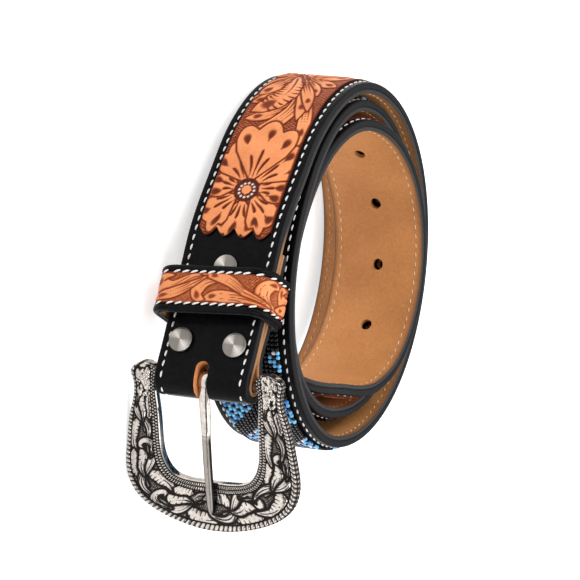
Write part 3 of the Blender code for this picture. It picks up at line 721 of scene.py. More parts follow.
# %% A stitch, and rows of them
STITCH_LENGTH = 2.6 * MM
STITCH_WIDTH = 0.74 * MM
STITCH_HEIGHT = 0.55 * MM
OUTER_STITCH_SUNK = 0.02 * MM
INNER_STITCH_SUNK = 0.06 * MM
INNER_STITCH_SIZE = 0.6
SLANT = 0.18 * MM


def stitch_shape(rings=7, sides=8):
    """Unit stitch: X along the seam, Y across it, Z out of the leather; shape (rings, sides, 3)."""
    rows = []
    for x in np.linspace(-1, 1, rings):
        fat = math.sqrt(max(0.0, 1 - abs(x) ** 2.6)) * 0.9 + 0.1
        dip = -0.55 * abs(x) ** 3
        rows.append([(x, 0.5 * fat * math.cos(a), 0.5 * fat * math.sin(a) + dip) for a in full_turn(sides)])
    return np.array(rows)


def joined_copies(name, shape, frames, values=None):
    """Copies of one ring body at many frames (origin and three scaled axes), as one mesh.

    Values, if given, are one colour for each copy."""
    rings, sides = shape.shape[:2]
    flat = shape.reshape(-1, 3)
    points = np.einsum("pk,fkc->fpc", flat, frames[:, 1:]) + frames[:, None, 0]
    index = np.arange(rings * sides).reshape(rings, sides)
    quads = np.stack((index[:-1], np.roll(index[:-1], -1, 1), np.roll(index[1:], -1, 1), index[1:]), -1)
    faces = []
    for k in range(len(frames)):
        shift = k * rings * sides
        faces += (quads.reshape(-1, 4) + shift).tolist()
        faces.append((index[0][::-1] + shift).tolist())
        faces.append((index[-1] + shift).tolist())
    mesh = new_mesh(name, points, faces)
    if values is not None:
        store = mesh.color_attributes.new("glass", "FLOAT_COLOR", "POINT")
        colours = np.repeat(np.column_stack((values, np.ones(len(values)))), rings * sides, axis=0)
        store.data.foreach_set("color", colours.astype(np.float32).ravel())
    return finished(mesh, 80)


def seam_frames(s, across, outward, slant=0.0, size=1.0):
    """Frames of stitches at lengths and heights on the belt; outward is negative on the lining."""
    here = on_belt(s, across, outward)
    reach = STITCH_LENGTH / 2
    run = unit(on_belt(s + reach, across + slant, outward) - on_belt(s - reach, across - slant, outward))
    out = unit(on_belt(s, across, outward + np.sign(outward) * MM) - here)
    side = np.cross(out, run)
    sizes = (STITCH_LENGTH * size ** 0.5 / 2, STITCH_WIDTH * size, STITCH_HEIGHT * size)
    return np.stack((here, run * sizes[0], side * sizes[1], out * sizes[2]), axis=1)


def stitch_row(side):
    """Lengths and heights of one row, evenly spaced, drawn in where the tip tapers."""
    s = np.arange(BELT_START + 2.5 * MM, BELT_END - 4.0 * MM, STITCH_PITCH)
    return s, side * np.maximum(half_width(s + STITCH_INSET) - STITCH_INSET, 0)


outer = []
inner = []
outer_level = STRAP_OUTSIDE - OUTER_STITCH_SUNK
inner_level = lining_outside + INNER_STITCH_SUNK
for side in (1, -1):
    s, across = stitch_row(side)
    outer.append(seam_frames(s, across, outer_level, SLANT))
    inner.append(seam_frames(s + STITCH_PITCH / 2, across, inner_level, SLANT, INNER_STITCH_SIZE))
stitch = stitch_shape()
piece("outer_stitches", joined_copies("outer_stitches", stitch, np.concatenate(outer)),
      white_thread, "belt", "black_leather")
piece("lining_stitches", joined_copies("lining_stitches", stitch, np.concatenate(inner)),
      cream_thread, "belt", "tan_lining")

# %% [markdown]
# ## Tooling
# A tooler cuts lines with a swivel knife, bevels the leather beside them, stamps the ground down with
# a fine punch and rubs dark stain into everything low. A bump map would fake it, but here the carving
# is real relief on a dense grid. Each motif writes into the fields of a flat patch of leather, its
# height, its stain and its white dots: leaves and petals are closed outlines raised from the ground,
# and knife cuts are lines with a tapered width.

# %% Distances on a flat patch
def distance_to_line(x, y, line):
    """Distance from points to a line of straight pieces, and the share along it of the nearest place."""
    best = np.full(x.shape, np.inf)
    share = np.zeros(x.shape)
    for k, (a, b) in enumerate(zip(line, line[1:])):
        step = b - a
        t = np.clip(((x - a[0]) * step[0] + (y - a[1]) * step[1]) / max(step @ step, 1e-12), 0, 1)
        gap = np.hypot(x - a[0] - t * step[0], y - a[1] - t * step[1])
        nearer = gap < best
        best[nearer] = gap[nearer]
        share[nearer] = (k + t[nearer]) / (len(line) - 1)
    return best, share


def inside(x, y, outline):
    """True for points within a closed outline, by counting the crossings of a level line."""
    hit = np.zeros(x.shape, bool)
    for (x1, y1), (x2, y2) in zip(outline, np.roll(outline, -1, axis=0)):
        level = (y1 > y) != (y2 > y)
        hit ^= level & (x < (x2 - x1) * (y - y1) / (y2 - y1 + 1e-15) + x1)
    return hit


def bent_line(start, end, bend, count=14):
    """A curve from start to end that bows sideways by a share of its length."""
    start, end = np.array(start, float), np.array(end, float)
    t = np.linspace(0, 1, count)[:, None]
    way = end - start
    side = np.array((-way[1], way[0]))
    return start + way * t + side * bend * 4 * t * (1 - t)


def smooth_line(points, count=30):
    """A smooth curve through a few points."""
    points = np.array(points, float)
    reach = reach_along(points)
    return spline(reach, points, np.linspace(0, reach[-1], count))


def left_of(line):
    """At each point of a line, the direction square to it, to its left."""
    way = np.gradient(line, axis=0)
    return unit(np.column_stack((-way[:, 1], way[:, 0])))


def ray_at(angle):
    """The direction at an angle."""
    return np.array((math.cos(angle), math.sin(angle)))


# %% A patch of leather and the tools used on it
GROUND = 0.30
BEVEL_REACH = 0.75 * MM
CUT_LINE = 0.42 * MM
STIPPLE_PITCH = 1.25 * MM


class Patch:
    """Leather seen flat: how high it stands, from 0 to 1, how dark its stain is, and its white dots."""

    def __init__(self, along, across, seed=5, pitch=STIPPLE_PITCH):
        self.rows, self.cols = along, across
        self.x, self.y = np.meshgrid(along, across, indexing="ij")
        rough = np.random.default_rng(seed).random(self.x.shape)
        row = 2 * math.pi * self.x / pitch
        column = 2 * math.pi * self.y / (pitch * 0.87) + np.sin(self.x / (2.1 * MM))
        dots = 0.5 + 0.25 * (np.cos(row + column / 2) + np.cos(row - column / 2))
        dots = np.clip(dots + 0.35 * (rough - 0.5), 0, 1)
        self.height = GROUND * (0.4 + 0.9 * dots)
        self.stain = 1.15 - 0.95 * dots
        self.dot = np.zeros_like(self.x)

    def near(self, line, margin):
        low, high = line.min(axis=0) - margin, line.max(axis=0) + margin
        rows = slice(*np.searchsorted(self.rows, (low[0], high[0])))
        cols = slice(*np.searchsorted(self.cols, (low[1], high[1])))
        return rows, cols

    def raise_shape(self, outline, soft=1.3 * MM):
        """A closed outline raised from the ground, rounded at its edge, with a stained bevel round it."""
        spot = self.near(outline, 1.2 * MM)
        x, y = self.x[spot], self.y[spot]
        gap, _ = distance_to_line(x, y, np.vstack((outline, outline[:1])))
        within = inside(x, y, outline)
        crown = 0.66 + 0.34 * np.clip(gap / soft, 0, 1) ** 0.6
        line = np.clip(1 - gap / CUT_LINE, 0, 1)
        bevel = np.clip(1 - gap / BEVEL_REACH, 0, 1)
        self.height[spot] = np.where(within, crown - 0.45 * line, self.height[spot] * (1 - 0.75 * bevel))
        self.stain[spot] = np.where(within, line * 1.1, np.maximum(self.stain[spot], bevel ** 0.6))

    def cut(self, line, width, depth=0.45, dark=1.0, blunt=0.25):
        """A knife cut, widest near its start and fading to nothing at its end."""
        spot = self.near(line, width)
        gap, share = distance_to_line(self.x[spot], self.y[spot], line)
        reach = width / 2 * np.clip(share / 0.12 + blunt, 0, 1) * np.clip((1 - share) * 1.6, 0.15, 1)
        groove = np.clip(1.25 - gap / reach, 0, 1)
        self.height[spot] -= depth * groove * (self.height[spot] > 0.2)
        self.stain[spot] = np.maximum(self.stain[spot], dark * groove)

    def press(self, centre, length, width, angle, depth=0.4, dark=0.82):
        """The mark of a pear-shaped shader: an oval dent, darkest in its middle."""
        c, s = math.cos(angle), math.sin(angle)
        spot = self.near(np.array([centre]), length)
        dx, dy = self.x[spot] - centre[0], self.y[spot] - centre[1]
        u, v = (dx * c + dy * s) / (length / 2), (dy * c - dx * s) / (width / 2)
        dent = np.clip(1.35 - np.hypot(u, v / (1.0 + 0.35 * u.clip(-1, 1))), 0, 1)
        self.height[spot] -= depth * dent
        self.stain[spot] = np.maximum(self.stain[spot], dark * np.clip(dent * 1.3, 0, 1))


# %% Leaves
def lobed_outline(spine, width, lobes, bloom=1.6):
    """Outline round a spine, narrow at its foot and full near its end, with lobes on both sides."""
    t = np.linspace(0, 1, len(spine))
    swell = 0.22 * (1 - t) + np.sin(math.pi * np.minimum(t ** bloom, 1)) ** 0.8
    swell[0] = swell[-1] = 0.05
    ripple = 0.82 + 0.18 * np.abs(np.sin(math.pi * lobes * t)) if lobes else 1.0
    half = left_of(spine) * (width / 2 * swell * ripple)[:, None]
    return np.vstack((spine + half, (spine - half)[::-1]))


def leaf(patch, spine, width, lobes=0, press=True, knife=0.95 * MM):
    """A leaf along its spine: outline, middle vein, a shader mark near the tip, and either a side vein
    to each notch between lobes or one long cut on both sides of the middle."""
    patch.raise_shape(lobed_outline(spine, width, lobes))
    count = len(spine)
    side = left_of(spine)
    patch.cut(spine[2:int(count * 0.66)], knife)
    if lobes:
        for k in range(int(count * 0.22), int(count * 0.86), max(2, count // (2 * lobes + 2))):
            for turn in (1, -1):
                root = spine[k] + turn * side[k] * width * 0.10
                notch = spine[k] + turn * side[k] * width * 0.46
                patch.cut(bent_line(notch, root, 0.12 * turn, 6), knife * 1.1)
    else:
        low, high = int(count * 0.30), int(count * 0.70)
        for turn in (1, -1):
            patch.cut(spine[low:high] + turn * side[low:high] * width * 0.22, knife * 0.95, dark=0.9)
    if press:
        k = int(count * 0.78)
        toward = spine[k + 2] - spine[k - 2]
        patch.press(spine[k], 0.5 * width + 1.2 * MM, 0.44 * width, math.atan2(toward[1], toward[0]))


# %% Flowers
RING_RADIUS = 4.5 * MM
DOT_COUNT = 12
PETAL_SPREAD = math.radians(66)
PETAL_SOFT = 2.4 * MM
PETAL_STROKES = (-0.22, 0.02, 0.24)
STROKE_WIDTH = 1.5 * MM
PETAL_MARKS = (-0.31, 0.03, 0.33)
MARK_LENGTH = 4.4 * MM
MARK_WIDTH = 2.9 * MM
MARK_TAIL = 3.6 * MM
RING_LINE = 0.5 * MM
DOT_RADIUS = 0.36 * MM


def petal_outline(centre, angle, reach, spread):
    """One ruffled petal that widens from the flower's ring."""
    t = np.linspace(0, 1, 34)
    turn = angle + (t - 0.5) * spread
    ruffle = 0.87 + 0.13 * np.abs(np.sin(math.pi * 3 * t))
    edge = reach * ruffle * (0.70 + 0.30 * np.sin(math.pi * t) ** 0.35)
    rim = np.column_stack((np.cos(turn) * edge, np.sin(turn) * edge))
    foot = [ray_at(angle + share * spread) * RING_RADIUS * 0.9 for share in (0.12, -0.12)]
    return np.array(centre) + np.vstack((rim, foot))


def flower(patch, centre, petals):
    """Petals of given angle and reach, with strokes and shader marks, round a ring of white dots."""
    centre = np.array(centre)
    for angle, reach in petals:
        turn = math.radians(angle)
        patch.raise_shape(petal_outline(centre, turn, reach, PETAL_SPREAD), PETAL_SOFT)
        for share in PETAL_STROKES:
            ray = ray_at(turn + share * PETAL_SPREAD)
            root = RING_RADIUS + 1.0 * MM
            far = root + (reach - root) * (0.50 - 0.5 * abs(share))
            patch.cut(bent_line(centre + ray * far, centre + ray * root, share * 0.3, 9), STROKE_WIDTH, 0.55)
        for share in PETAL_MARKS:
            way = turn + share * PETAL_SPREAD
            ray = ray_at(way)
            tail = centre + ray * reach * (0.80 - 0.2 * abs(share))
            patch.cut(bent_line(tail, tail - ray * MARK_TAIL, share * 0.3, 7), 0.8 * MM, dark=0.9)
            patch.press(tail, MARK_LENGTH, MARK_WIDTH, way, 0.5, 0.9)
    gap = np.hypot(patch.x - centre[0], patch.y - centre[1])
    disc = gap < RING_RADIUS
    level = np.where(gap < RING_RADIUS * 0.48, 0.95 - 0.3 * gap / RING_RADIUS, 0.25)
    patch.height[disc] = level[disc]
    patch.stain[disc] = np.where(gap < RING_RADIUS * 0.43, 0.05, 1.0)[disc]
    patch.stain = np.maximum(patch.stain, np.clip(1.6 - np.abs(gap - RING_RADIUS) / RING_LINE, 0, 1))
    for k in range(DOT_COUNT):
        x, y = centre + RING_RADIUS * 0.67 * ray_at(2 * math.pi * k / DOT_COUNT)
        dot = np.clip(1.5 - np.hypot(patch.x - x, patch.y - y) / DOT_RADIUS, 0, 1)
        patch.dot = np.maximum(patch.dot, dot)
        patch.height = np.maximum(patch.height, 0.9 * dot)
        patch.stain = patch.stain * (1 - dot)


# %% [markdown]
# ## Tooled overlays
# The layout follows a classic western pattern: an open flower near the buckle, then leaves that spring
# from points on a stem and sweep back and forward over a stamped ground. One table holds the leaves
# round a point, and the pattern is set down again and again along the strip, turned over each time.

# %% Leaves that spring from one point of the stem
SPRAY = (
    # width in mm, lobes, then places along the spine in mm from the point where all leaves meet
    (6.5, 0, ((0, -3), (-8, -8), (-16, -10.5), (-24, -10.5))),
    (5.5, 0, ((-1, 3), (-6, 10), (-9, 18))),
    (5.0, 0, ((-12, -1), (-17, -2.5), (-21, -6), (-24, -10))),
    (6.0, 0, ((-1, -2), (-8, -4), (-14, -6.5), (-19, -9.5))),
    (5.0, 0, ((-18, 7), (-25, 5), (-30, -1), (-33, -9))),
    (5.5, 0, ((-2, 1), (-10, 8), (-17, 14))),
    (5.0, 0, ((-10, 7.5), (-24, 13), (-34, 16), (-46, 17))),
    (6.0, 0, ((-3, 2), (-14, 6), (-26, 8), (-34, 4), (-40, -3), (-43, -9))),
    (5.5, 0, ((0, 0), (-10, 5), (-20, 10), (-32, 12))),
    (4.5, 0, ((0, 0), (-9, 5), (-16, 9.5), (-27, 14.5))),
    (5.5, 0, ((0, 2), (0, 10), (3, 18))),
    (10.0, 5, ((-1, -2), (-10, 1), (-18, 1), (-24, -2.5), (-29, -8))),
)
SPRAY_HEIGHT = -4.0 * MM
FLOWER_PETALS = ((180, 21.5), (230, 22.0), (130, 22.0), (282, 16.5), (80, 17.0), (330, 23.0), (37, 25.0),
                 (2, 31.0))
SPRAY_STEP = 64 * MM


def steps_of_pattern(first, last):
    """Places two steps apart, and which way up the pattern lies there."""
    places = np.arange(first, last + SPRAY_STEP, 2 * SPRAY_STEP)
    return [(place, -1 if k % 2 else 1) for k, place in enumerate(places)]


def tooled_pattern(patch, first_flower, last):
    """Flowers with sprays of leaves between them, each turned over from the one before."""
    for place, flip in steps_of_pattern(first_flower + SPRAY_STEP, last):
        point = np.array((place, flip * SPRAY_HEIGHT))
        for turn in (-1, 1):
            for width, lobes, spine in SPRAY:
                line = smooth_line(spine, 32) * MM * np.array((1, flip))
                leaf(patch, point + turn * line, width * MM, lobes)
    for place, flip in steps_of_pattern(first_flower, last):
        petals = [(flip * angle, reach * MM) for angle, reach in FLOWER_PETALS]
        flower(patch, (place, -0.4 * MM * flip), petals)


# %% Put a patch on the belt as a strip with relief
RELIEF = 0.62 * MM
RELIEF_SHARP = 75
GRID_ALONG = 0.40 * MM
GRID_ACROSS = 0.37 * MM


def relief_strip(name, patch, shift, base, top):
    """A closed strip whose outer face carries the patch; shift moves its rows along the belt."""
    rows, cols = patch.x.shape
    half = half_width(patch.rows, BORDER)[:, None]
    across = patch.cols[None, :] / patch.cols[-1] * half
    rim = np.clip(1.25 - (half - np.abs(across)) / (0.55 * MM), 0, 1)
    height = np.clip(patch.height, 0, 1) * (1 - 0.45 * rim)
    outward = top - RELIEF * (1 - height)
    face = on_belt(patch.x + shift, across, outward)
    floor_cols = [0, cols - 1]
    low = on_belt((patch.x + shift)[:, floor_cols], across[:, floor_cols], base)
    points = np.concatenate((face.reshape(-1, 3), low.reshape(-1, 3)))
    top_index = np.arange(rows * cols).reshape(rows, cols)
    low_index = rows * cols + np.arange(rows * 2).reshape(rows, 2)
    quads = np.stack((top_index[:-1, :-1], top_index[:-1, 1:], top_index[1:, 1:], top_index[1:, :-1]), -1)
    faces = quads.reshape(-1, 4).tolist()
    for i in range(rows - 1):
        faces.append([low_index[i, 0], top_index[i, 0], top_index[i + 1, 0], low_index[i + 1, 0]])
        faces.append([low_index[i, 1], low_index[i + 1, 1], top_index[i + 1, -1], top_index[i, -1]])
        faces.append([low_index[i, 0], low_index[i + 1, 0], low_index[i + 1, 1], low_index[i, 1]])
    faces.append([low_index[0, 0], low_index[0, 1], *top_index[0, ::-1].tolist()])
    faces.append([low_index[-1, 1], low_index[-1, 0], *top_index[-1].tolist()])
    values = {"stain": np.append(np.maximum(patch.stain, rim), np.ones(rows * 2)),
              "dot": np.append(patch.dot, np.zeros(rows * 2))}
    return finished(new_mesh(name, points, [[int(v) for v in f] for f in faces], values), RELIEF_SHARP)


OVERLAY_BASE = STRAP_OUTSIDE + 0.03 * MM
OVERLAY_TOP = OVERLAY_INSIDE + OVERLAY_THICKNESS
SCALLOP_FADE = 13.5 * MM
panel_half = HALF_WIDTH - BORDER
across = np.linspace(-1, 1, round(2 * panel_half / GRID_ACROSS)) * panel_half
along = np.arange(OVERLAY_START, OVERLAY_END, GRID_ALONG)
front_patch = Patch(along, across)
tooled_pattern(front_patch, OVERLAY_START + 19 * MM, OVERLAY_END)
lobe = np.abs(np.sin(math.pi * SCALLOP_COUNT * (across / across[-1] + 1) / 2))
fade = np.maximum(0, 1 - (along - OVERLAY_START) / SCALLOP_FADE)
scallop = SCALLOP_DEPTH * (1 - lobe)[None, :] * fade[:, None]
scallop_edge = np.clip(1 - (along - OVERLAY_START)[:, None] / (0.6 * MM), 0, 1)
front_patch.stain = np.maximum(front_patch.stain, scallop_edge)
front_mesh = relief_strip("front_overlay", front_patch, scallop, OVERLAY_BASE, OVERLAY_TOP)
piece("front_tooling", front_mesh, tooled, "belt", "tooled_leather", "front_overlay")

# %% The overlay of the tip, with its punched holes
tip_along = np.arange(TIP_OVERLAY_START, BELT_END - BORDER, GRID_ALONG * 1.15)
tip_patch = Patch(tip_along, across, seed=8)
tooled_pattern(tip_patch, TIP_OVERLAY_START + 40 * MM, BELT_END)
tip_mesh = relief_strip("tip_overlay", tip_patch, 0.0, OVERLAY_BASE, OVERLAY_TOP)
tip_mesh = finished(with_cuts(tip_mesh, punches), RELIEF_SHARP)
piece("tip_tooling", tip_mesh, tooled, "belt", "tooled_leather", "tip_overlay")

# %% [markdown]
# ## Beadwork
# Seed beads of about 1.7 mm are sewn in rows on a black backing. A real bead is a short tube with
# rounded ends, lying across the strap, so each is a small ring body. Its colour could come from a
# picture, but a beader counts, so a small rule works it out from the bead's row and column.

# %% Backing strip
BEAD_PITCH = 1.70 * MM
BEAD_HEIGHT = 1.5 * MM
BEAD_MIDDLE = 0.52 * MM
BEAD_JITTER = 0.05 * MM
BEAD_BASE = OVERLAY_BASE + 0.40 * MM
PANEL_STATIONS = 180
panel_s = np.linspace(BEADS_START, BEADS_END, PANEL_STATIONS)
panel_section = np.array(((OVERLAY_BASE, -1), (OVERLAY_BASE, 1), (BEAD_BASE, 1), (BEAD_BASE, -1)))
panel_rings = on_belt(panel_s[:, None], panel_section[None, :, 1] * panel_half, panel_section[None, :, 0])
panel_mesh = ring_mesh("bead_backing", panel_rings, values={"edge": np.zeros(panel_rings.shape[:2])})
piece("bead_backing", panel_mesh, black, "belt", "black_leather")

# %% Bead colours by rule
BEAD_COLOURS = {
    "black": (0.003, 0.003, 0.004),
    "sky": (0.16, 0.46, 0.78),
    "blue": (0.045, 0.21, 0.58),
    "rose": (0.72, 0.60, 0.66),
}
ZIGZAG_ROWS = 26
ZIGZAG_SHIFT = 9
BAND_COLUMNS = 13
BLUE_COLUMNS = 7


def bead_colour(row, column):
    """Zigzag bands: pairs of blue beads set in steps, rose ones on their edge, and black between them."""
    ridge = abs((row + ZIGZAG_SHIFT) % ZIGZAG_ROWS - ZIGZAG_ROWS // 2)
    step = (column + ridge) % BAND_COLUMNS
    if step >= BLUE_COLUMNS or (column + row) % 3 == 2:
        return "black"
    if step == 0 and row % 2:
        return "rose"
    return "blue" if (row + 2 * column) % 5 == 0 else "sky"


# %% Make the beads
def bead_shape(sides=6):
    """Unit bead, lying along Y: rounded tube, shape (rings, sides, 3)."""
    profile = ((-0.41, 0.30), (-0.20, 0.50), (0.20, 0.50), (0.41, 0.30))
    angles = full_turn(sides) + math.pi / sides
    rings = [[(radius * math.sin(a), y, radius * math.cos(a)) for a in angles] for y, radius in profile]
    return np.array(rings)


columns = int(2 * panel_half / BEAD_PITCH)
bead_rows = int((BEADS_END - BEADS_START) / BEAD_PITCH)
row_grid, column_grid = np.meshgrid(np.arange(bead_rows), np.arange(columns), indexing="ij")
row_index, column_index = row_grid.ravel(), column_grid.ravel()
jitter = np.random.default_rng(11).normal(0, BEAD_JITTER, (2, row_index.size))
bead_s = BEADS_START + (row_index + 0.5) * BEAD_PITCH + jitter[0]
bead_across = (column_index - (columns - 1) / 2) * BEAD_PITCH + jitter[1]
bead_frames = seam_frames(bead_s, bead_across, BEAD_BASE + BEAD_MIDDLE)
for axis, size in ((1, BEAD_PITCH), (2, BEAD_PITCH), (3, BEAD_HEIGHT)):
    length = np.linalg.norm(bead_frames[:, axis], axis=1, keepdims=True)
    bead_frames[:, axis] *= size / length
glass = np.array([BEAD_COLOURS[bead_colour(row, column)] for row, column in zip(row_index, column_index)])
glass = glass * np.random.default_rng(12).uniform(0.8, 1.15, (len(glass), 1))
bead_mesh = joined_copies("beads", bead_shape(), bead_frames, np.clip(glass, 0, 1))
piece("seed_beads", bead_mesh, beads, "belt", "beadwork", "bead_panel")

# %% [markdown]
# ## Keeper
# The keeper is a loop of three leathers round the billet: tan inside, black with rolled rims, and a
# tooled band between the rims with a row of stitches over each join. Its route is a rectangle with
# round corners, so each layer is that outline moved outward by its own distance.

# %% Route of the keeper
KEEPER_WIDTH = 17.6 * MM
KEEPER_FROM_BAR = 22.0 * MM
KEEPER_ROOM = 5.6 * MM
KEEPER_BOTTOM_SLACK = 1.5 * MM
KEEPER_BACK_SLACK = 0.6 * MM + 2 * LAYER_GAP
KEEPER_LINING = 0.8 * MM
KEEPER_BAND = 1.1 * MM
KEEPER_OVERLAY = 0.9 * MM
KEEPER_BORDER = 2.9 * MM
KEEPER_CORNERS = (2.4 * MM, 5.2 * MM, 4.4 * MM, 2.4 * MM)
KEEPER_SKEW = math.tan(math.radians(3.5))
KEEPER_KNIFE = 0.55 * MM
KEEPER_SUNK = 0.05 * MM
loop_low = np.array((STACK_FRONT - KEEPER_ROOM, -HALF_WIDTH - KEEPER_BOTTOM_SLACK))
loop_high = np.array((STACK_BACK + KEEPER_BACK_SLACK, HALF_WIDTH + LAYER_GAP))
keeper_middle = -KEEPER_FROM_BAR - KEEPER_WIDTH / 2


def keeper_route(step):
    """Depths and heights of the loop's inner face with outward normals, from the middle of its back."""
    points, normals = [], []
    for quarter, (corner, radius) in enumerate(zip(((1, 1), (0, 1), (0, 0), (1, 0)), KEEPER_CORNERS)):
        centre = np.where(corner, loop_high - radius, loop_low + radius)
        for k in range(10):
            normal = ray_at(math.pi / 2 * (quarter + k / 9))
            points.append(centre + normal * radius)
            normals.append(normal)
    points, normals = np.array(points + points[:1]), np.array(normals + normals[:1])
    reach = reach_along(points)
    at = np.linspace(0, reach[-1], int(reach[-1] / step), endpoint=False)
    lines = [np.interp(at, reach, column) for column in (*points.T, *normals.T)]
    return at, np.column_stack(lines[:2]), np.column_stack(lines[2:])


def on_keeper(route, along, outward):
    """Points in the frame on the keeper: along is the distance from its middle, towards the buckle."""
    along, outward = np.broadcast_arrays(along, outward)
    plane = route[1][:, None, :] + route[2][:, None, :] * outward[..., None]
    skewed = keeper_middle + along[..., None] - KEEPER_SKEW * plane[..., 1:]
    local = np.concatenate((skewed, plane), axis=-1)
    turn, shift = np.array(BILLET.to_3x3()), np.array(BILLET.translation)
    return local @ turn.T + shift


# %% Lining and black band with rolled rims
route = keeper_route(0.8 * MM)
half_keeper = KEEPER_WIDTH / 2
lining_side, lining_out = np.array((
    # share of the keeper's half width, then distance out in mm
    (-1, 0.1), (-0.98, 0.0), (-0.92, 0.0), (0.92, 0.0), (0.98, 0.0), (1, 0.1),
    (1, KEEPER_LINING / MM), (-1, KEEPER_LINING / MM))).T
lining_rings = on_keeper(route, lining_side * half_keeper, lining_out * MM)
lining_edge = np.broadcast_to((np.abs(lining_side) > 0.95) * 1.0, lining_rings.shape[:2])
keeper_lining_mesh = ring_mesh("keeper_lining", lining_rings, closed=True, values={"edge": lining_edge})
piece("keeper_inside", keeper_lining_mesh, tan, "belt", "tan_lining", "keeper_lining")
BAND_BASE = KEEPER_LINING + 0.02 * MM
RIM_TOP = KEEPER_LINING + KEEPER_BAND + KEEPER_OVERLAY + 2 * LAYER_GAP
rim_half = KEEPER_BORDER / 2
rim_tall = (RIM_TOP - BAND_BASE) / 2
rim = [(half_keeper - rim_half + rim_half * math.sin(a), BAND_BASE + rim_tall - rim_tall * math.cos(a))
       for a in np.linspace(0, math.pi * 1.12, 12)]
floor_at = BAND_BASE + KEEPER_BAND * 0.9
under, between = half_keeper - 2.4 * rim_half, half_keeper - 2.1 * rim_half
band = np.array([(-x, d) for x, d in rim[:0:-1]] + [(-under, BAND_BASE), (under, BAND_BASE)] + rim[1:]
                + [(between, floor_at), (-between, floor_at)])
band_rings = on_keeper(route, band[:, 0], band[:, 1])
band_edge = np.full(band_rings.shape[:2], 0.1)
band_mesh = ring_mesh("keeper_band", band_rings, closed=True, values={"edge": band_edge})
piece("keeper_rims", band_mesh, black, "belt", "black_leather", "keeper_band")

# %% Tooled face of the keeper
KEEPER_VINE = (
    # width in mm, lobes, then places along the spine: height on the strap, distance towards the bar
    (4.0, 0, ((27, 4.5), (22, 4.5), (18.5, 0.5), (20.5, -3.5), (25, -3))),
    (4.4, 0, ((22, 5.5), (13, 3.6), (6, 3.0), (1, 3.2), (-3, 5.5))),
    (5.0, 0, ((8, -3.6), (1, -3.6), (-4, -1.2), (-4.5, 3), (-1, 4.6))),
    (5.2, 0, ((0, -4.5), (-7, -4.0), (-12, -1.0), (-17, 0.2), (-19.5, -3), (-15, -4.6))),
    (3.8, 0, ((22, 4.8), (14, 1.2), (8, -2.6), (2, -4.6), (-5, -5.6))),
    (3.8, 0, ((-2, -4.6), (-8, -1.0), (-15, 2.4), (-22, 4.2))),
)
KEEPER_REPEAT = 46 * MM
fine_route = keeper_route(0.34 * MM)
keeper_half = half_keeper - KEEPER_BORDER
keeper_cols = np.linspace(-keeper_half, keeper_half, 37)
keeper_patch = Patch(fine_route[0], keeper_cols, seed=9, pitch=0.8 * MM)
front_middle = fine_route[0][np.argmin(fine_route[1][:, 0] * 50 + np.abs(fine_route[1][:, 1]))]
for repeat in range(-2, 3):
    point = np.array((front_middle - repeat * KEEPER_REPEAT, 0.0))
    for width, lobes, spine in KEEPER_VINE:
        line = point + smooth_line(spine) * MM * np.array((-1, 1))
        leaf(keeper_patch, line, width * MM, lobes, knife=KEEPER_KNIFE)
keeper_rim = np.clip(1.25 - (keeper_half - np.abs(keeper_patch.y)) / (0.5 * MM), 0, 1)
keeper_height = np.clip(keeper_patch.height, 0, 1) * (1 - 0.4 * keeper_rim)
OVERLAY_FLOOR = BAND_BASE + KEEPER_BAND + 0.02 * MM
keeper_out = RIM_TOP - KEEPER_SUNK - RELIEF * 0.85 * (1 - keeper_height)
keeper_along = np.append(keeper_cols, keeper_cols[[-1, 0]])
keeper_out = np.hstack((keeper_out, np.full((len(keeper_out), 2), OVERLAY_FLOOR)))
keeper_stain = np.maximum(keeper_patch.stain * 0.8, keeper_rim * 0.9)
keeper_values = {"stain": np.hstack((keeper_stain, np.ones((len(keeper_out), 2)))),
                 "dot": np.zeros(keeper_out.shape)}
keeper_mesh = ring_mesh("keeper_overlay", on_keeper(fine_route, keeper_along, keeper_out), closed=True,
                        values=keeper_values)
piece("keeper_tooling", keeper_mesh, tooled, "belt", "tooled_leather", "keeper_overlay")

# %% Stitches over the keeper's joins
KEEPER_PITCH = 3.4 * MM
KEEPER_SLANT = 0.28
KEEPER_STITCH = (1.5 * MM, 0.78 * MM, 0.6 * MM)
sewn = keeper_route(KEEPER_PITCH)
level = RIM_TOP - KEEPER_SUNK
frames = []
for side in (1, -1):
    spread = side * (keeper_half + 0.15 * MM)
    here = on_keeper(sewn, spread, level)[:, 0]
    out = unit(on_keeper(sewn, spread, level + MM)[:, 0] - here)
    run = unit(np.roll(here, -1, axis=0) - np.roll(here, 1, axis=0))
    sideways = np.cross(out, run)
    axes = [way * size for way, size in zip((run + KEEPER_SLANT * sideways, sideways, out), KEEPER_STITCH)]
    frames.append(np.stack((here, *axes), axis=1))
piece("keeper_stitches", joined_copies("keeper_stitches", stitch, np.concatenate(frames)),
      white_thread, "belt", "tooled_leather")

# %% [markdown]
# ## Buckle
# The buckle is cast silver with a leaf scroll, a twisted rope round its outer edge, rows of fine beads
# round the window and small nuggets on its two heels, blackened in the low places and then polished.
# It is one rail swept round the window. Its scroll is written with the same tools as the leather's.

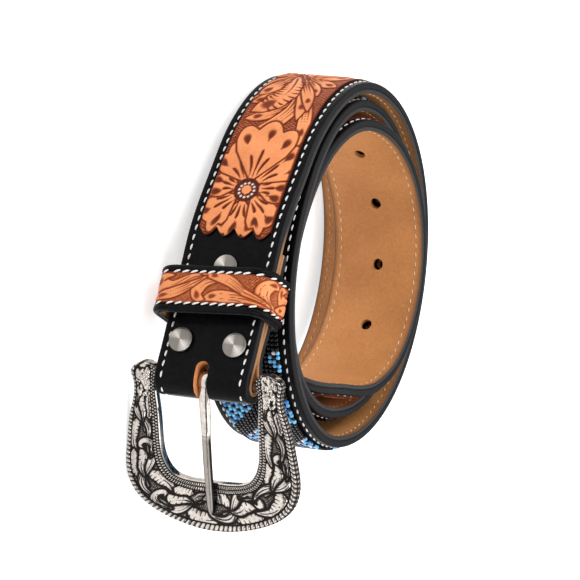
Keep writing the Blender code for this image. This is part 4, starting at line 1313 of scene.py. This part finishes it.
# %% Outlines and relief of the rail
WINDOW_LENGTH = 38.4 * MM
WINDOW_CLEARANCE = 1.5 * MM
BUCKLE_REACH = 57.4 * MM
BUCKLE_WIDTH = 70.4 * MM
BUCKLE_THICKNESS = 3.4 * MM
BUCKLE_CROWN = 0.9 * MM
BUCKLE_RELIEF = 0.5 * MM
BUCKLE_SWING = math.radians(35.0)
PRONG_SHAFT = 3.4 * MM
BUCKLE_OUTLINE = (
    # window length, window half width, outer reach, outer half width
    (-0.140, 1.130, -0.094, 0.744),
    (-0.118, 1.045, -0.072, 0.818),
    (0.000,  1.000,  0.018, 0.864),
    (0.340,  1.000,  0.244, 0.915),
    (0.650,  0.985,  0.470, 0.980),
    (0.830,  0.920,  0.660, 1.000),
    (0.950,  0.750,  0.810, 0.898),
    (0.990,  0.520,  0.906, 0.682),
    (0.998,  0.250,  0.979, 0.327),
    (1.000,  0.000,  1.000, 0.000),
)
CROWN_LINE = ((0.0, 0.0), (0.04, 0.42), (0.14, 0.55), (0.20, 0.42), (0.32, 0.78), (0.46, 1.0),
              (0.60, 0.98), (0.74, 0.74), (0.84, 0.40), (0.90, 0.62), (0.96, 0.55), (1.0, 0.0))
RAIL_STATIONS = 760
BAR_SIDES = 28
HINGE = BILLET @ Matrix.Rotation(BUCKLE_SWING, 4, "Z")

window_half = HALF_WIDTH + WINDOW_CLEARANCE
outline_rows = np.array(BUCKLE_OUTLINE) * (WINDOW_LENGTH, window_half, BUCKLE_REACH, BUCKLE_WIDTH / 2)
both = np.vstack((outline_rows * (1, -1, 1, -1), outline_rows[-2::-1]))
rail_line = (both[:, 0:2] + both[:, 2:4]) / 2
rail_reach = reach_along(rail_line)
rail_length = rail_reach[-1]
rail_s = np.linspace(0, rail_length, RAIL_STATIONS)
rail = spline(rail_reach, both, rail_s)
print("rail", round(rail_length / MM), "mm long")

# %% Write the scroll, the beads and the rope on the rail
RAIL_WIDTH = 11.5 * MM
RAIL_KNIFE = 0.42 * MM
SMOOTH_EDGE = 0.03
BEAD_ROW_SHARE = 0.09
BEADS_TO = 0.21
SCROLL_FROM = 0.22
SCROLL_TO = 0.84
ROPE_FROM = 0.87
BEAD_ROW_PITCH = 1.25 * MM
ROPE_PITCH = 1.45 * MM
ROPE_DEPTH = 0.20 * MM
shares = np.linspace(0, 1, 62)
rail_patch = Patch(rail_s, shares * RAIL_WIDTH, seed=3, pitch=0.7 * MM)
RAIL_VINE = (
    # width in mm, lobes, then places along the spine: distance along the rail and across it in mm
    (4.4, 3, ((-15, 1.5), (-10, 3.0), (-5, 2.6), (-1, 0.8))),
    (4.6, 3, ((-7, -1.2), (-2, -1.6), (3, -2.6), (8, -2.6))),
    (3.4, 0, ((-12, -1.5), (-7, -2.6), (-3, -1.6), (0, 1.0), (4, 2.9), (9, 2.6), (12, 0.5))),
    (3.2, 2, ((-3, -0.5), (1, -0.6), (5, 0.4), (8, -0.6))),
    (2.4, 0, ((3, 2.6), (7, 3.4), (10.4, 2.4), (10.4, 0.2), (8.4, -0.2), (8.0, 1.2))),
)
RAIL_REPEAT = 21 * MM
for k in range(-5, 6):
    flip = 1 if k % 2 else -1
    way = 1 if k >= 0 else -1
    point = np.array((rail_length / 2 + (k + 0.5) * RAIL_REPEAT, RAIL_WIDTH * 0.53))
    for width, lobes, spine in RAIL_VINE:
        line = point + smooth_line(spine) * MM * np.array((way, flip))
        leaf(rail_patch, line, width * 0.88 * MM, lobes, False, RAIL_KNIFE)
scroll = (shares > SCROLL_FROM) & (shares < SCROLL_TO)
share_grid, s_grid = np.meshgrid(shares, rail_s)
second_row = share_grid >= SMOOTH_EDGE + BEAD_ROW_SHARE
bead_swell = np.cos(2 * math.pi * s_grid / BEAD_ROW_PITCH + np.where(second_row, math.pi, 0))
bead_round = np.abs(np.sin(math.pi * (share_grid - SMOOTH_EDGE) / BEAD_ROW_SHARE)) ** 0.7
bead_height = np.clip(0.6 + 0.5 * bead_swell, 0, 1) * bead_round
rope_height = 0.5 + 0.5 * np.cos(2 * math.pi * (s_grid / ROPE_PITCH + (share_grid - ROPE_FROM) * 4.0))
rope_round = np.sin(math.pi * np.clip((share_grid - ROPE_FROM) / (1 - ROPE_FROM), 0, 1)) ** 0.4
rope_height = rope_height ** 0.5 * rope_round
relief = np.where(scroll, rail_patch.height, 0.0)
blackening = np.where(scroll, rail_patch.stain, 0.9)
bead_zone = (share_grid > SMOOTH_EDGE) & (share_grid < BEADS_TO)
rope_zone = share_grid > ROPE_FROM
relief = np.where(bead_zone, bead_height, np.where(rope_zone, rope_height, relief))
blackening = np.where(bead_zone, 0.95 - bead_height, np.where(rope_zone, 0.95 - 1.1 * rope_height, blackening))
blackening = np.where(share_grid <= SMOOTH_EDGE, 0.0, blackening)

# %% Nuggets on the rail's heels
HEEL_LENGTH = 13 * MM
NUGGET_COUNT = 110
end_gap = np.minimum(rail_s, rail_length - rail_s)
heel = (end_gap < HEEL_LENGTH)[:, None] & scroll[None, :]
scatter = np.random.default_rng(21)
nuggets = np.zeros_like(s_grid)
for end in (0.0, rail_length):
    for k in range(NUGGET_COUNT):
        x = abs(end - scatter.uniform(0, HEEL_LENGTH))
        y = scatter.uniform(0.24, 0.82)
        size = scatter.uniform(0.45, 1.0) * MM
        gap = np.hypot(s_grid - x, (share_grid - y) * RAIL_WIDTH)
        nuggets = np.maximum(nuggets, 1 - (gap / size) ** 2)
relief = np.where(heel, nuggets, relief)
blackening = np.where(heel, 0.85 - 1.3 * nuggets, blackening)

# %% Sweep the rail and add its bar
crown = np.interp(shares, *np.array(CROWN_LINE).T) * BUCKLE_CROWN
fade = np.clip((end_gap + 1.2 * MM) / (6 * MM), 0, 1)[:, None]
notch = np.clip((np.abs(rail[:, 1]) - PRONG_SHAFT * 0.62) / PRONG_SHAFT, 0, 1)[:, None]
lift = (crown[None, :] * fade + BUCKLE_RELIEF * np.clip(relief, 0, 1) * fade) * notch
flat = rail[:, None, 0:2] + (rail[:, None, 2:4] - rail[:, None, 0:2]) * shares[None, :, None]
half_thick = BUCKLE_THICKNESS / 2
face_points = np.stack((flat[..., 0], -half_thick - lift, flat[..., 1]), axis=-1)
outer_edge, inner_edge = rail[:, 2:4], rail[:, 0:2]
inward = unit(inner_edge - outer_edge)
rope_side = 0.5 + 0.5 * np.cos(2 * math.pi * (rail_s / ROPE_PITCH + 0.52))
rope_swell = ROPE_DEPTH * rope_side[:, None]
BACK_CORNER = 0.35 * MM
WALL_FRONT = -0.5 / 0.85
WALL_MIDDLE = 0.4 / 0.85
wall_rows = (
    # edge of the rail, how far it is moved inward, and depth as a share of half the thickness
    (outer_edge, -rope_swell, WALL_FRONT),
    (outer_edge, -rope_swell, WALL_MIDDLE),
    (outer_edge, BACK_CORNER, 1.0),
    (inner_edge, -BACK_CORNER, 1.0),
    (inner_edge, 0.0, WALL_MIDDLE),
    (inner_edge, 0.0, WALL_FRONT),
)
walls = []
for edge, inset, level in wall_rows:
    at = edge + inward * inset
    walls.append(np.column_stack((at[:, 0], np.full(len(at), level * half_thick), at[:, 1])))
rail_rings = np.concatenate((face_points, np.stack(walls, axis=1)), axis=1)
wall_recess = np.tile((0.5, 0.3, 0.2, 0.2, 0.0, 0.0), (len(rail_s), 1))
wall_recess[:, 0:2] = 0.95 - 1.05 * rope_side[:, None]
rail_recess = np.hstack((blackening, wall_recess))
rail_mesh = ring_mesh("buckle_rail", rail_rings, values={"blackening": rail_recess})
bar_half = window_half + 3 * MM
bar_rings = np.array([[(BAR_RADIUS * math.cos(a), BAR_RADIUS * math.sin(a), z) for a in full_turn(BAR_SIDES)]
                      for z in np.linspace(-bar_half, bar_half, 12)])
bar_mesh = ring_mesh("buckle_bar", bar_rings, values={"blackening": np.full(bar_rings.shape[:2], 0.15)})
for mesh in (rail_mesh, bar_mesh):
    mesh.transform(HINGE)
piece("buckle_rail", rail_mesh, silver, "buckle_frame", "antique_silver", "buckle")
piece("buckle_bar", bar_mesh, silver, "buckle_frame", "antique_silver")

# %% [markdown]
# ## Prong
# The prong is a polished tongue with an eye round the bar. It is wide and smooth at the root, has an
# engraved collar, and tapers to a blunt tip that lies in the notch of the rail.

# %% Shape of the prong
PRONG_LENGTH = 50.5 * MM
PRONG_THICKNESS = 2.6 * MM
PRONG_EYE_WALL = 2.0 * MM
PRONG_ARCH = 0.4 * MM
PRONG_SIDES = 28
eye_radius = BAR_RADIUS + BAR_CLEARANCE + PRONG_EYE_WALL
rest = BUCKLE_THICKNESS / 2 + LAYER_GAP + PRONG_THICKNESS / 2
PRONG_ROWS = (
    # length share, depth, half width and half thickness in mm
    (0.02, (eye_radius - PRONG_THICKNESS / 2) / MM, 2.2, 1.30),
    (0.12, (eye_radius - PRONG_THICKNESS / 4) / MM, 2.2, 1.30),
    (0.30, (rest + PRONG_ARCH / 2) / MM, 2.02, 1.30),
    (0.42, (rest + PRONG_ARCH) / MM, 1.70, 1.30),
    (0.60, (rest + PRONG_ARCH) / MM, 1.70, 1.30),
    (0.80, rest / MM, 1.60, 1.28),
    (0.93, (rest - PRONG_THICKNESS * 0.08) / MM, 1.43, 1.09),
    (0.98, (rest - PRONG_THICKNESS * 0.14) / MM, 1.02, 0.88),
    (1.00, (rest - PRONG_THICKNESS * 0.20) / MM, 0.48, 0.52),
)
rows = np.array(PRONG_ROWS)
t = np.concatenate((np.linspace(rows[0, 0], 0.9, 70), np.linspace(0.905, 1.0, 14)))
shape_rows = np.column_stack([np.interp(t, rows[:, 0], rows[:, k]) for k in (1, 2, 3)])
kernel = np.array((1, 2, 3, 2, 1)) / 9
for k in range(3):
    padded = np.pad(shape_rows[:, k], 2, mode="edge")
    shape_rows[:, k] = np.convolve(padded, kernel, mode="valid")
collar = np.zeros(len(t))
for place in (0.385, 0.41, 0.435):
    collar = np.maximum(collar, np.clip(1 - np.abs(t - place) / 0.008, 0, 1))
angles = full_turn(PRONG_SIDES)
squarish = [np.sign(wave) * np.abs(wave) ** 0.92 for wave in (np.cos(angles), np.sin(angles))]
prong_rings = []
for share, (depth, half, thick), ring_cut in zip(t, shape_rows, collar):
    shrink = 1 - 0.12 * ring_cut
    far = np.full(PRONG_SIDES, share * PRONG_LENGTH)
    deep = (-depth - thick * squarish[1] * shrink) * MM
    prong_rings.append(np.column_stack((far, deep, half * squarish[0] * MM * shrink)))
# Beyond the collar the tongue is darkened a little all round and most along its two edges; the engraved
# collar lines are blackened too.
dark = np.clip((t - 0.36) / 0.06, 0, 1)[:, None] * (0.38 + 0.5 * np.cos(angles)[None, :] ** 4)
prong_collar_and_darkening = np.maximum(collar[:, None], dark)
prong_mesh = ring_mesh("prong", np.array(prong_rings), values={"blackening": prong_collar_and_darkening})

# %% Eye of the prong
eye_inside = BAR_RADIUS + BAR_CLEARANCE
eye_half = [(eye_inside + 0.02 * MM, -0.9), (eye_inside + 0.3 * MM, -1.0),
            (eye_radius - 0.4 * MM, -1.0), (eye_radius, -0.8)]
eye_section = eye_half + [(radius, -z) for radius, z in eye_half[::-1]]
eye_rings = np.array([[(r * math.cos(a), r * math.sin(a), z * PRONG_WIDTH / 2) for r, z in eye_section]
                      for a in full_turn(40)])
eye_mesh = ring_mesh("prong_eye", eye_rings, closed=True, values={"blackening": np.zeros(eye_rings.shape[:2])})
for mesh in (prong_mesh, eye_mesh):
    mesh.transform(HINGE)
piece("prong_tongue", prong_mesh, silver, "buckle_prong", "antique_silver", "prong")
piece("prong_eye", eye_mesh, silver, "buckle_prong", "antique_silver")

# %% [markdown]
# ## Screws
# Three two-part screws hold the fold. Their caps are turned, so a profile spun round its axis gives
# them, and the finish brushes them in circles round that same axis. Such circles throw light back as
# two wedge shapes, and the finish paints these in as a painted highlight, so that they show on every screw
# alike.

# %% Turn a screw
cap_foot = STACK_FRONT - LAYER_GAP
SCREW_BACK = 0.6 * MM
SCREW_BACK_RADIUS = 3.4 * MM
SCREW_POST = 2.0 * MM
back_foot = STACK_BACK + LAYER_GAP
cap_profile = [(SCREW_RADIUS * math.sin(a), SCREW_CAP * (0.62 + 0.38 * math.cos(a)))
               for a in np.linspace(0.02, math.pi / 2 - 0.3, 12)]
SUNK = LAYER_GAP * 0.8
cap_profile += [(SCREW_RADIUS * 0.985, SCREW_CAP * 0.66), (SCREW_RADIUS, SCREW_CAP * 0.52),
                (SCREW_RADIUS, SCREW_CAP * 0.18), (SCREW_RADIUS * 0.985, -SUNK), (SCREW_POST, -SUNK)]
back_profile = [(SCREW_POST, SUNK), (SCREW_BACK_RADIUS, SUNK), (SCREW_BACK_RADIUS, -SCREW_BACK * 0.7),
                (SCREW_BACK_RADIUS * 0.9, -SCREW_BACK), (SCREW_BACK_RADIUS * 0.03, -SCREW_BACK)]
profile = [(r, -cap_foot + h) for r, h in cap_profile] + [(r, -back_foot + h) for r, h in back_profile]
screw_rings = np.array([[(r * math.cos(a), r * math.sin(a), z) for a in full_turn(64)] for r, z in profile])
# Each cap wears the nickel finish with its painted highlight wedge shapes.
for name, length, height in SCREW_PLACES:
    screw = piece(name + "_cap", ring_mesh(name, screw_rings), nickel, "belt", "brushed_nickel", name)
    screw.matrix_world = BILLET @ Matrix.Translation((-length, 0, height)) @ QUARTER_TURN

# %% [markdown]
# ## Floor, light and camera
# The belt stands on a pale floor under soft light from a large panel on each side and one overhead, as
# on a product table. The camera looks down at the coil from the front with a long lens, and it is
# rolled so that the strap's width runs across the picture.

# %% Clear the cutters and lay the floor
FLOOR_HALF = 3.0
for thing in (slot_cut, *punches):
    bpy.data.objects.remove(thing)
floor_corners = np.array(((-1, -1, 0), (1, -1, 0), (1, 1, 0), (-1, 1, 0))) * FLOOR_HALF
floor_mesh = new_mesh("floor", floor_corners, [(0, 1, 2, 3)])
floor = placed("floor", floor_mesh)
floor_finish = Finish("pale_floor", 0.9)
paper = floor_finish.ramp(floor_finish.noise(60 * MM, 2.0), (0.3, (0.68,) * 3), (0.7, (0.71,) * 3))
floor_finish.link(paper, "Base Color")
floor_finish.link(paper, "Emission Color")
floor_finish.set(Emission_Strength=0.85, Specular_IOR_Level=0.0)
floor_mesh.materials.append(floor_finish.material)

# %% Soft light
world = bpy.data.worlds.new("studio")
world.use_nodes = True
background = world.node_tree.nodes["Background"]
background.inputs["Strength"].default_value = 0.95
height = world.node_tree.nodes.new("ShaderNodeSeparateXYZ")
room = world.node_tree.nodes.new("ShaderNodeValToRGB")
ROOM_GREYS = ((0.0, 0.10), (0.22, 0.16), (0.42, 0.95), (1.0, 1.0))
fill_ramp(room.color_ramp, [(place, (grey,) * 3) for place, grey in ROOM_GREYS])
direction = world.node_tree.nodes.new("ShaderNodeTexCoord")
world.node_tree.links.new(direction.outputs["Generated"], height.inputs[0])
world.node_tree.links.new(height.outputs["Z"], room.inputs["Fac"])
world.node_tree.links.new(room.outputs["Color"], background.inputs["Color"])
bpy.context.scene.world = world
LIGHTS = (
    # name, place, size and power
    ("panel_left", (-0.75, -0.55, 0.75), 0.7, 9.0),
    ("panel_right", (0.85, -0.25, 0.65), 0.6, 5.0),
    ("panel_top", (-0.05, 0.25, 1.05), 0.9, 9.0),
)
for name, place, size, power in LIGHTS:
    lamp = bpy.data.lights.new(name, "AREA")
    lamp.size = size
    lamp.energy = power
    light = placed(name, lamp)
    light.location = place
    light.rotation_euler = (-Vector(place)).to_track_quat("-Z", "Y").to_euler()
print("lights", [row[0] for row in LIGHTS])

# %% Camera
LOOK_DOWN = math.radians(26.0)
ROLL = math.radians(5.9)
MM_PER_PIXEL = 0.378 * MM
CAMERA_DISTANCE = 1.400
FRAME_PIXELS = 580
SENSOR = 36.0
target = Vector((0.0118, -0.014, 0.0187))
forward = Vector((0, math.cos(LOOK_DOWN), -math.sin(LOOK_DOWN)))
sky = Vector((0, math.sin(LOOK_DOWN), math.cos(LOOK_DOWN)))
side = Vector((1, 0, 0))
right = sky * math.cos(ROLL) - side * math.sin(ROLL)
up = -(sky * math.sin(ROLL) + side * math.cos(ROLL))
eye = target - forward * CAMERA_DISTANCE
pose = Matrix(((right.x, up.x, -forward.x, eye.x), (right.y, up.y, -forward.y, eye.y),
               (right.z, up.z, -forward.z, eye.z), (0, 0, 0, 1)))
camera_data = bpy.data.cameras.new("camera")
camera_data.sensor_width = SENSOR
camera_data.lens = CAMERA_DISTANCE / (MM_PER_PIXEL * FRAME_PIXELS) * SENSOR
camera = placed("camera", camera_data, STAND @ pose)
bpy.context.scene.camera = camera
bpy.context.scene.view_settings.view_transform = "Standard"
print("camera", [round(v, 3) for v in camera.matrix_world.translation], "lens", round(camera_data.lens, 1))
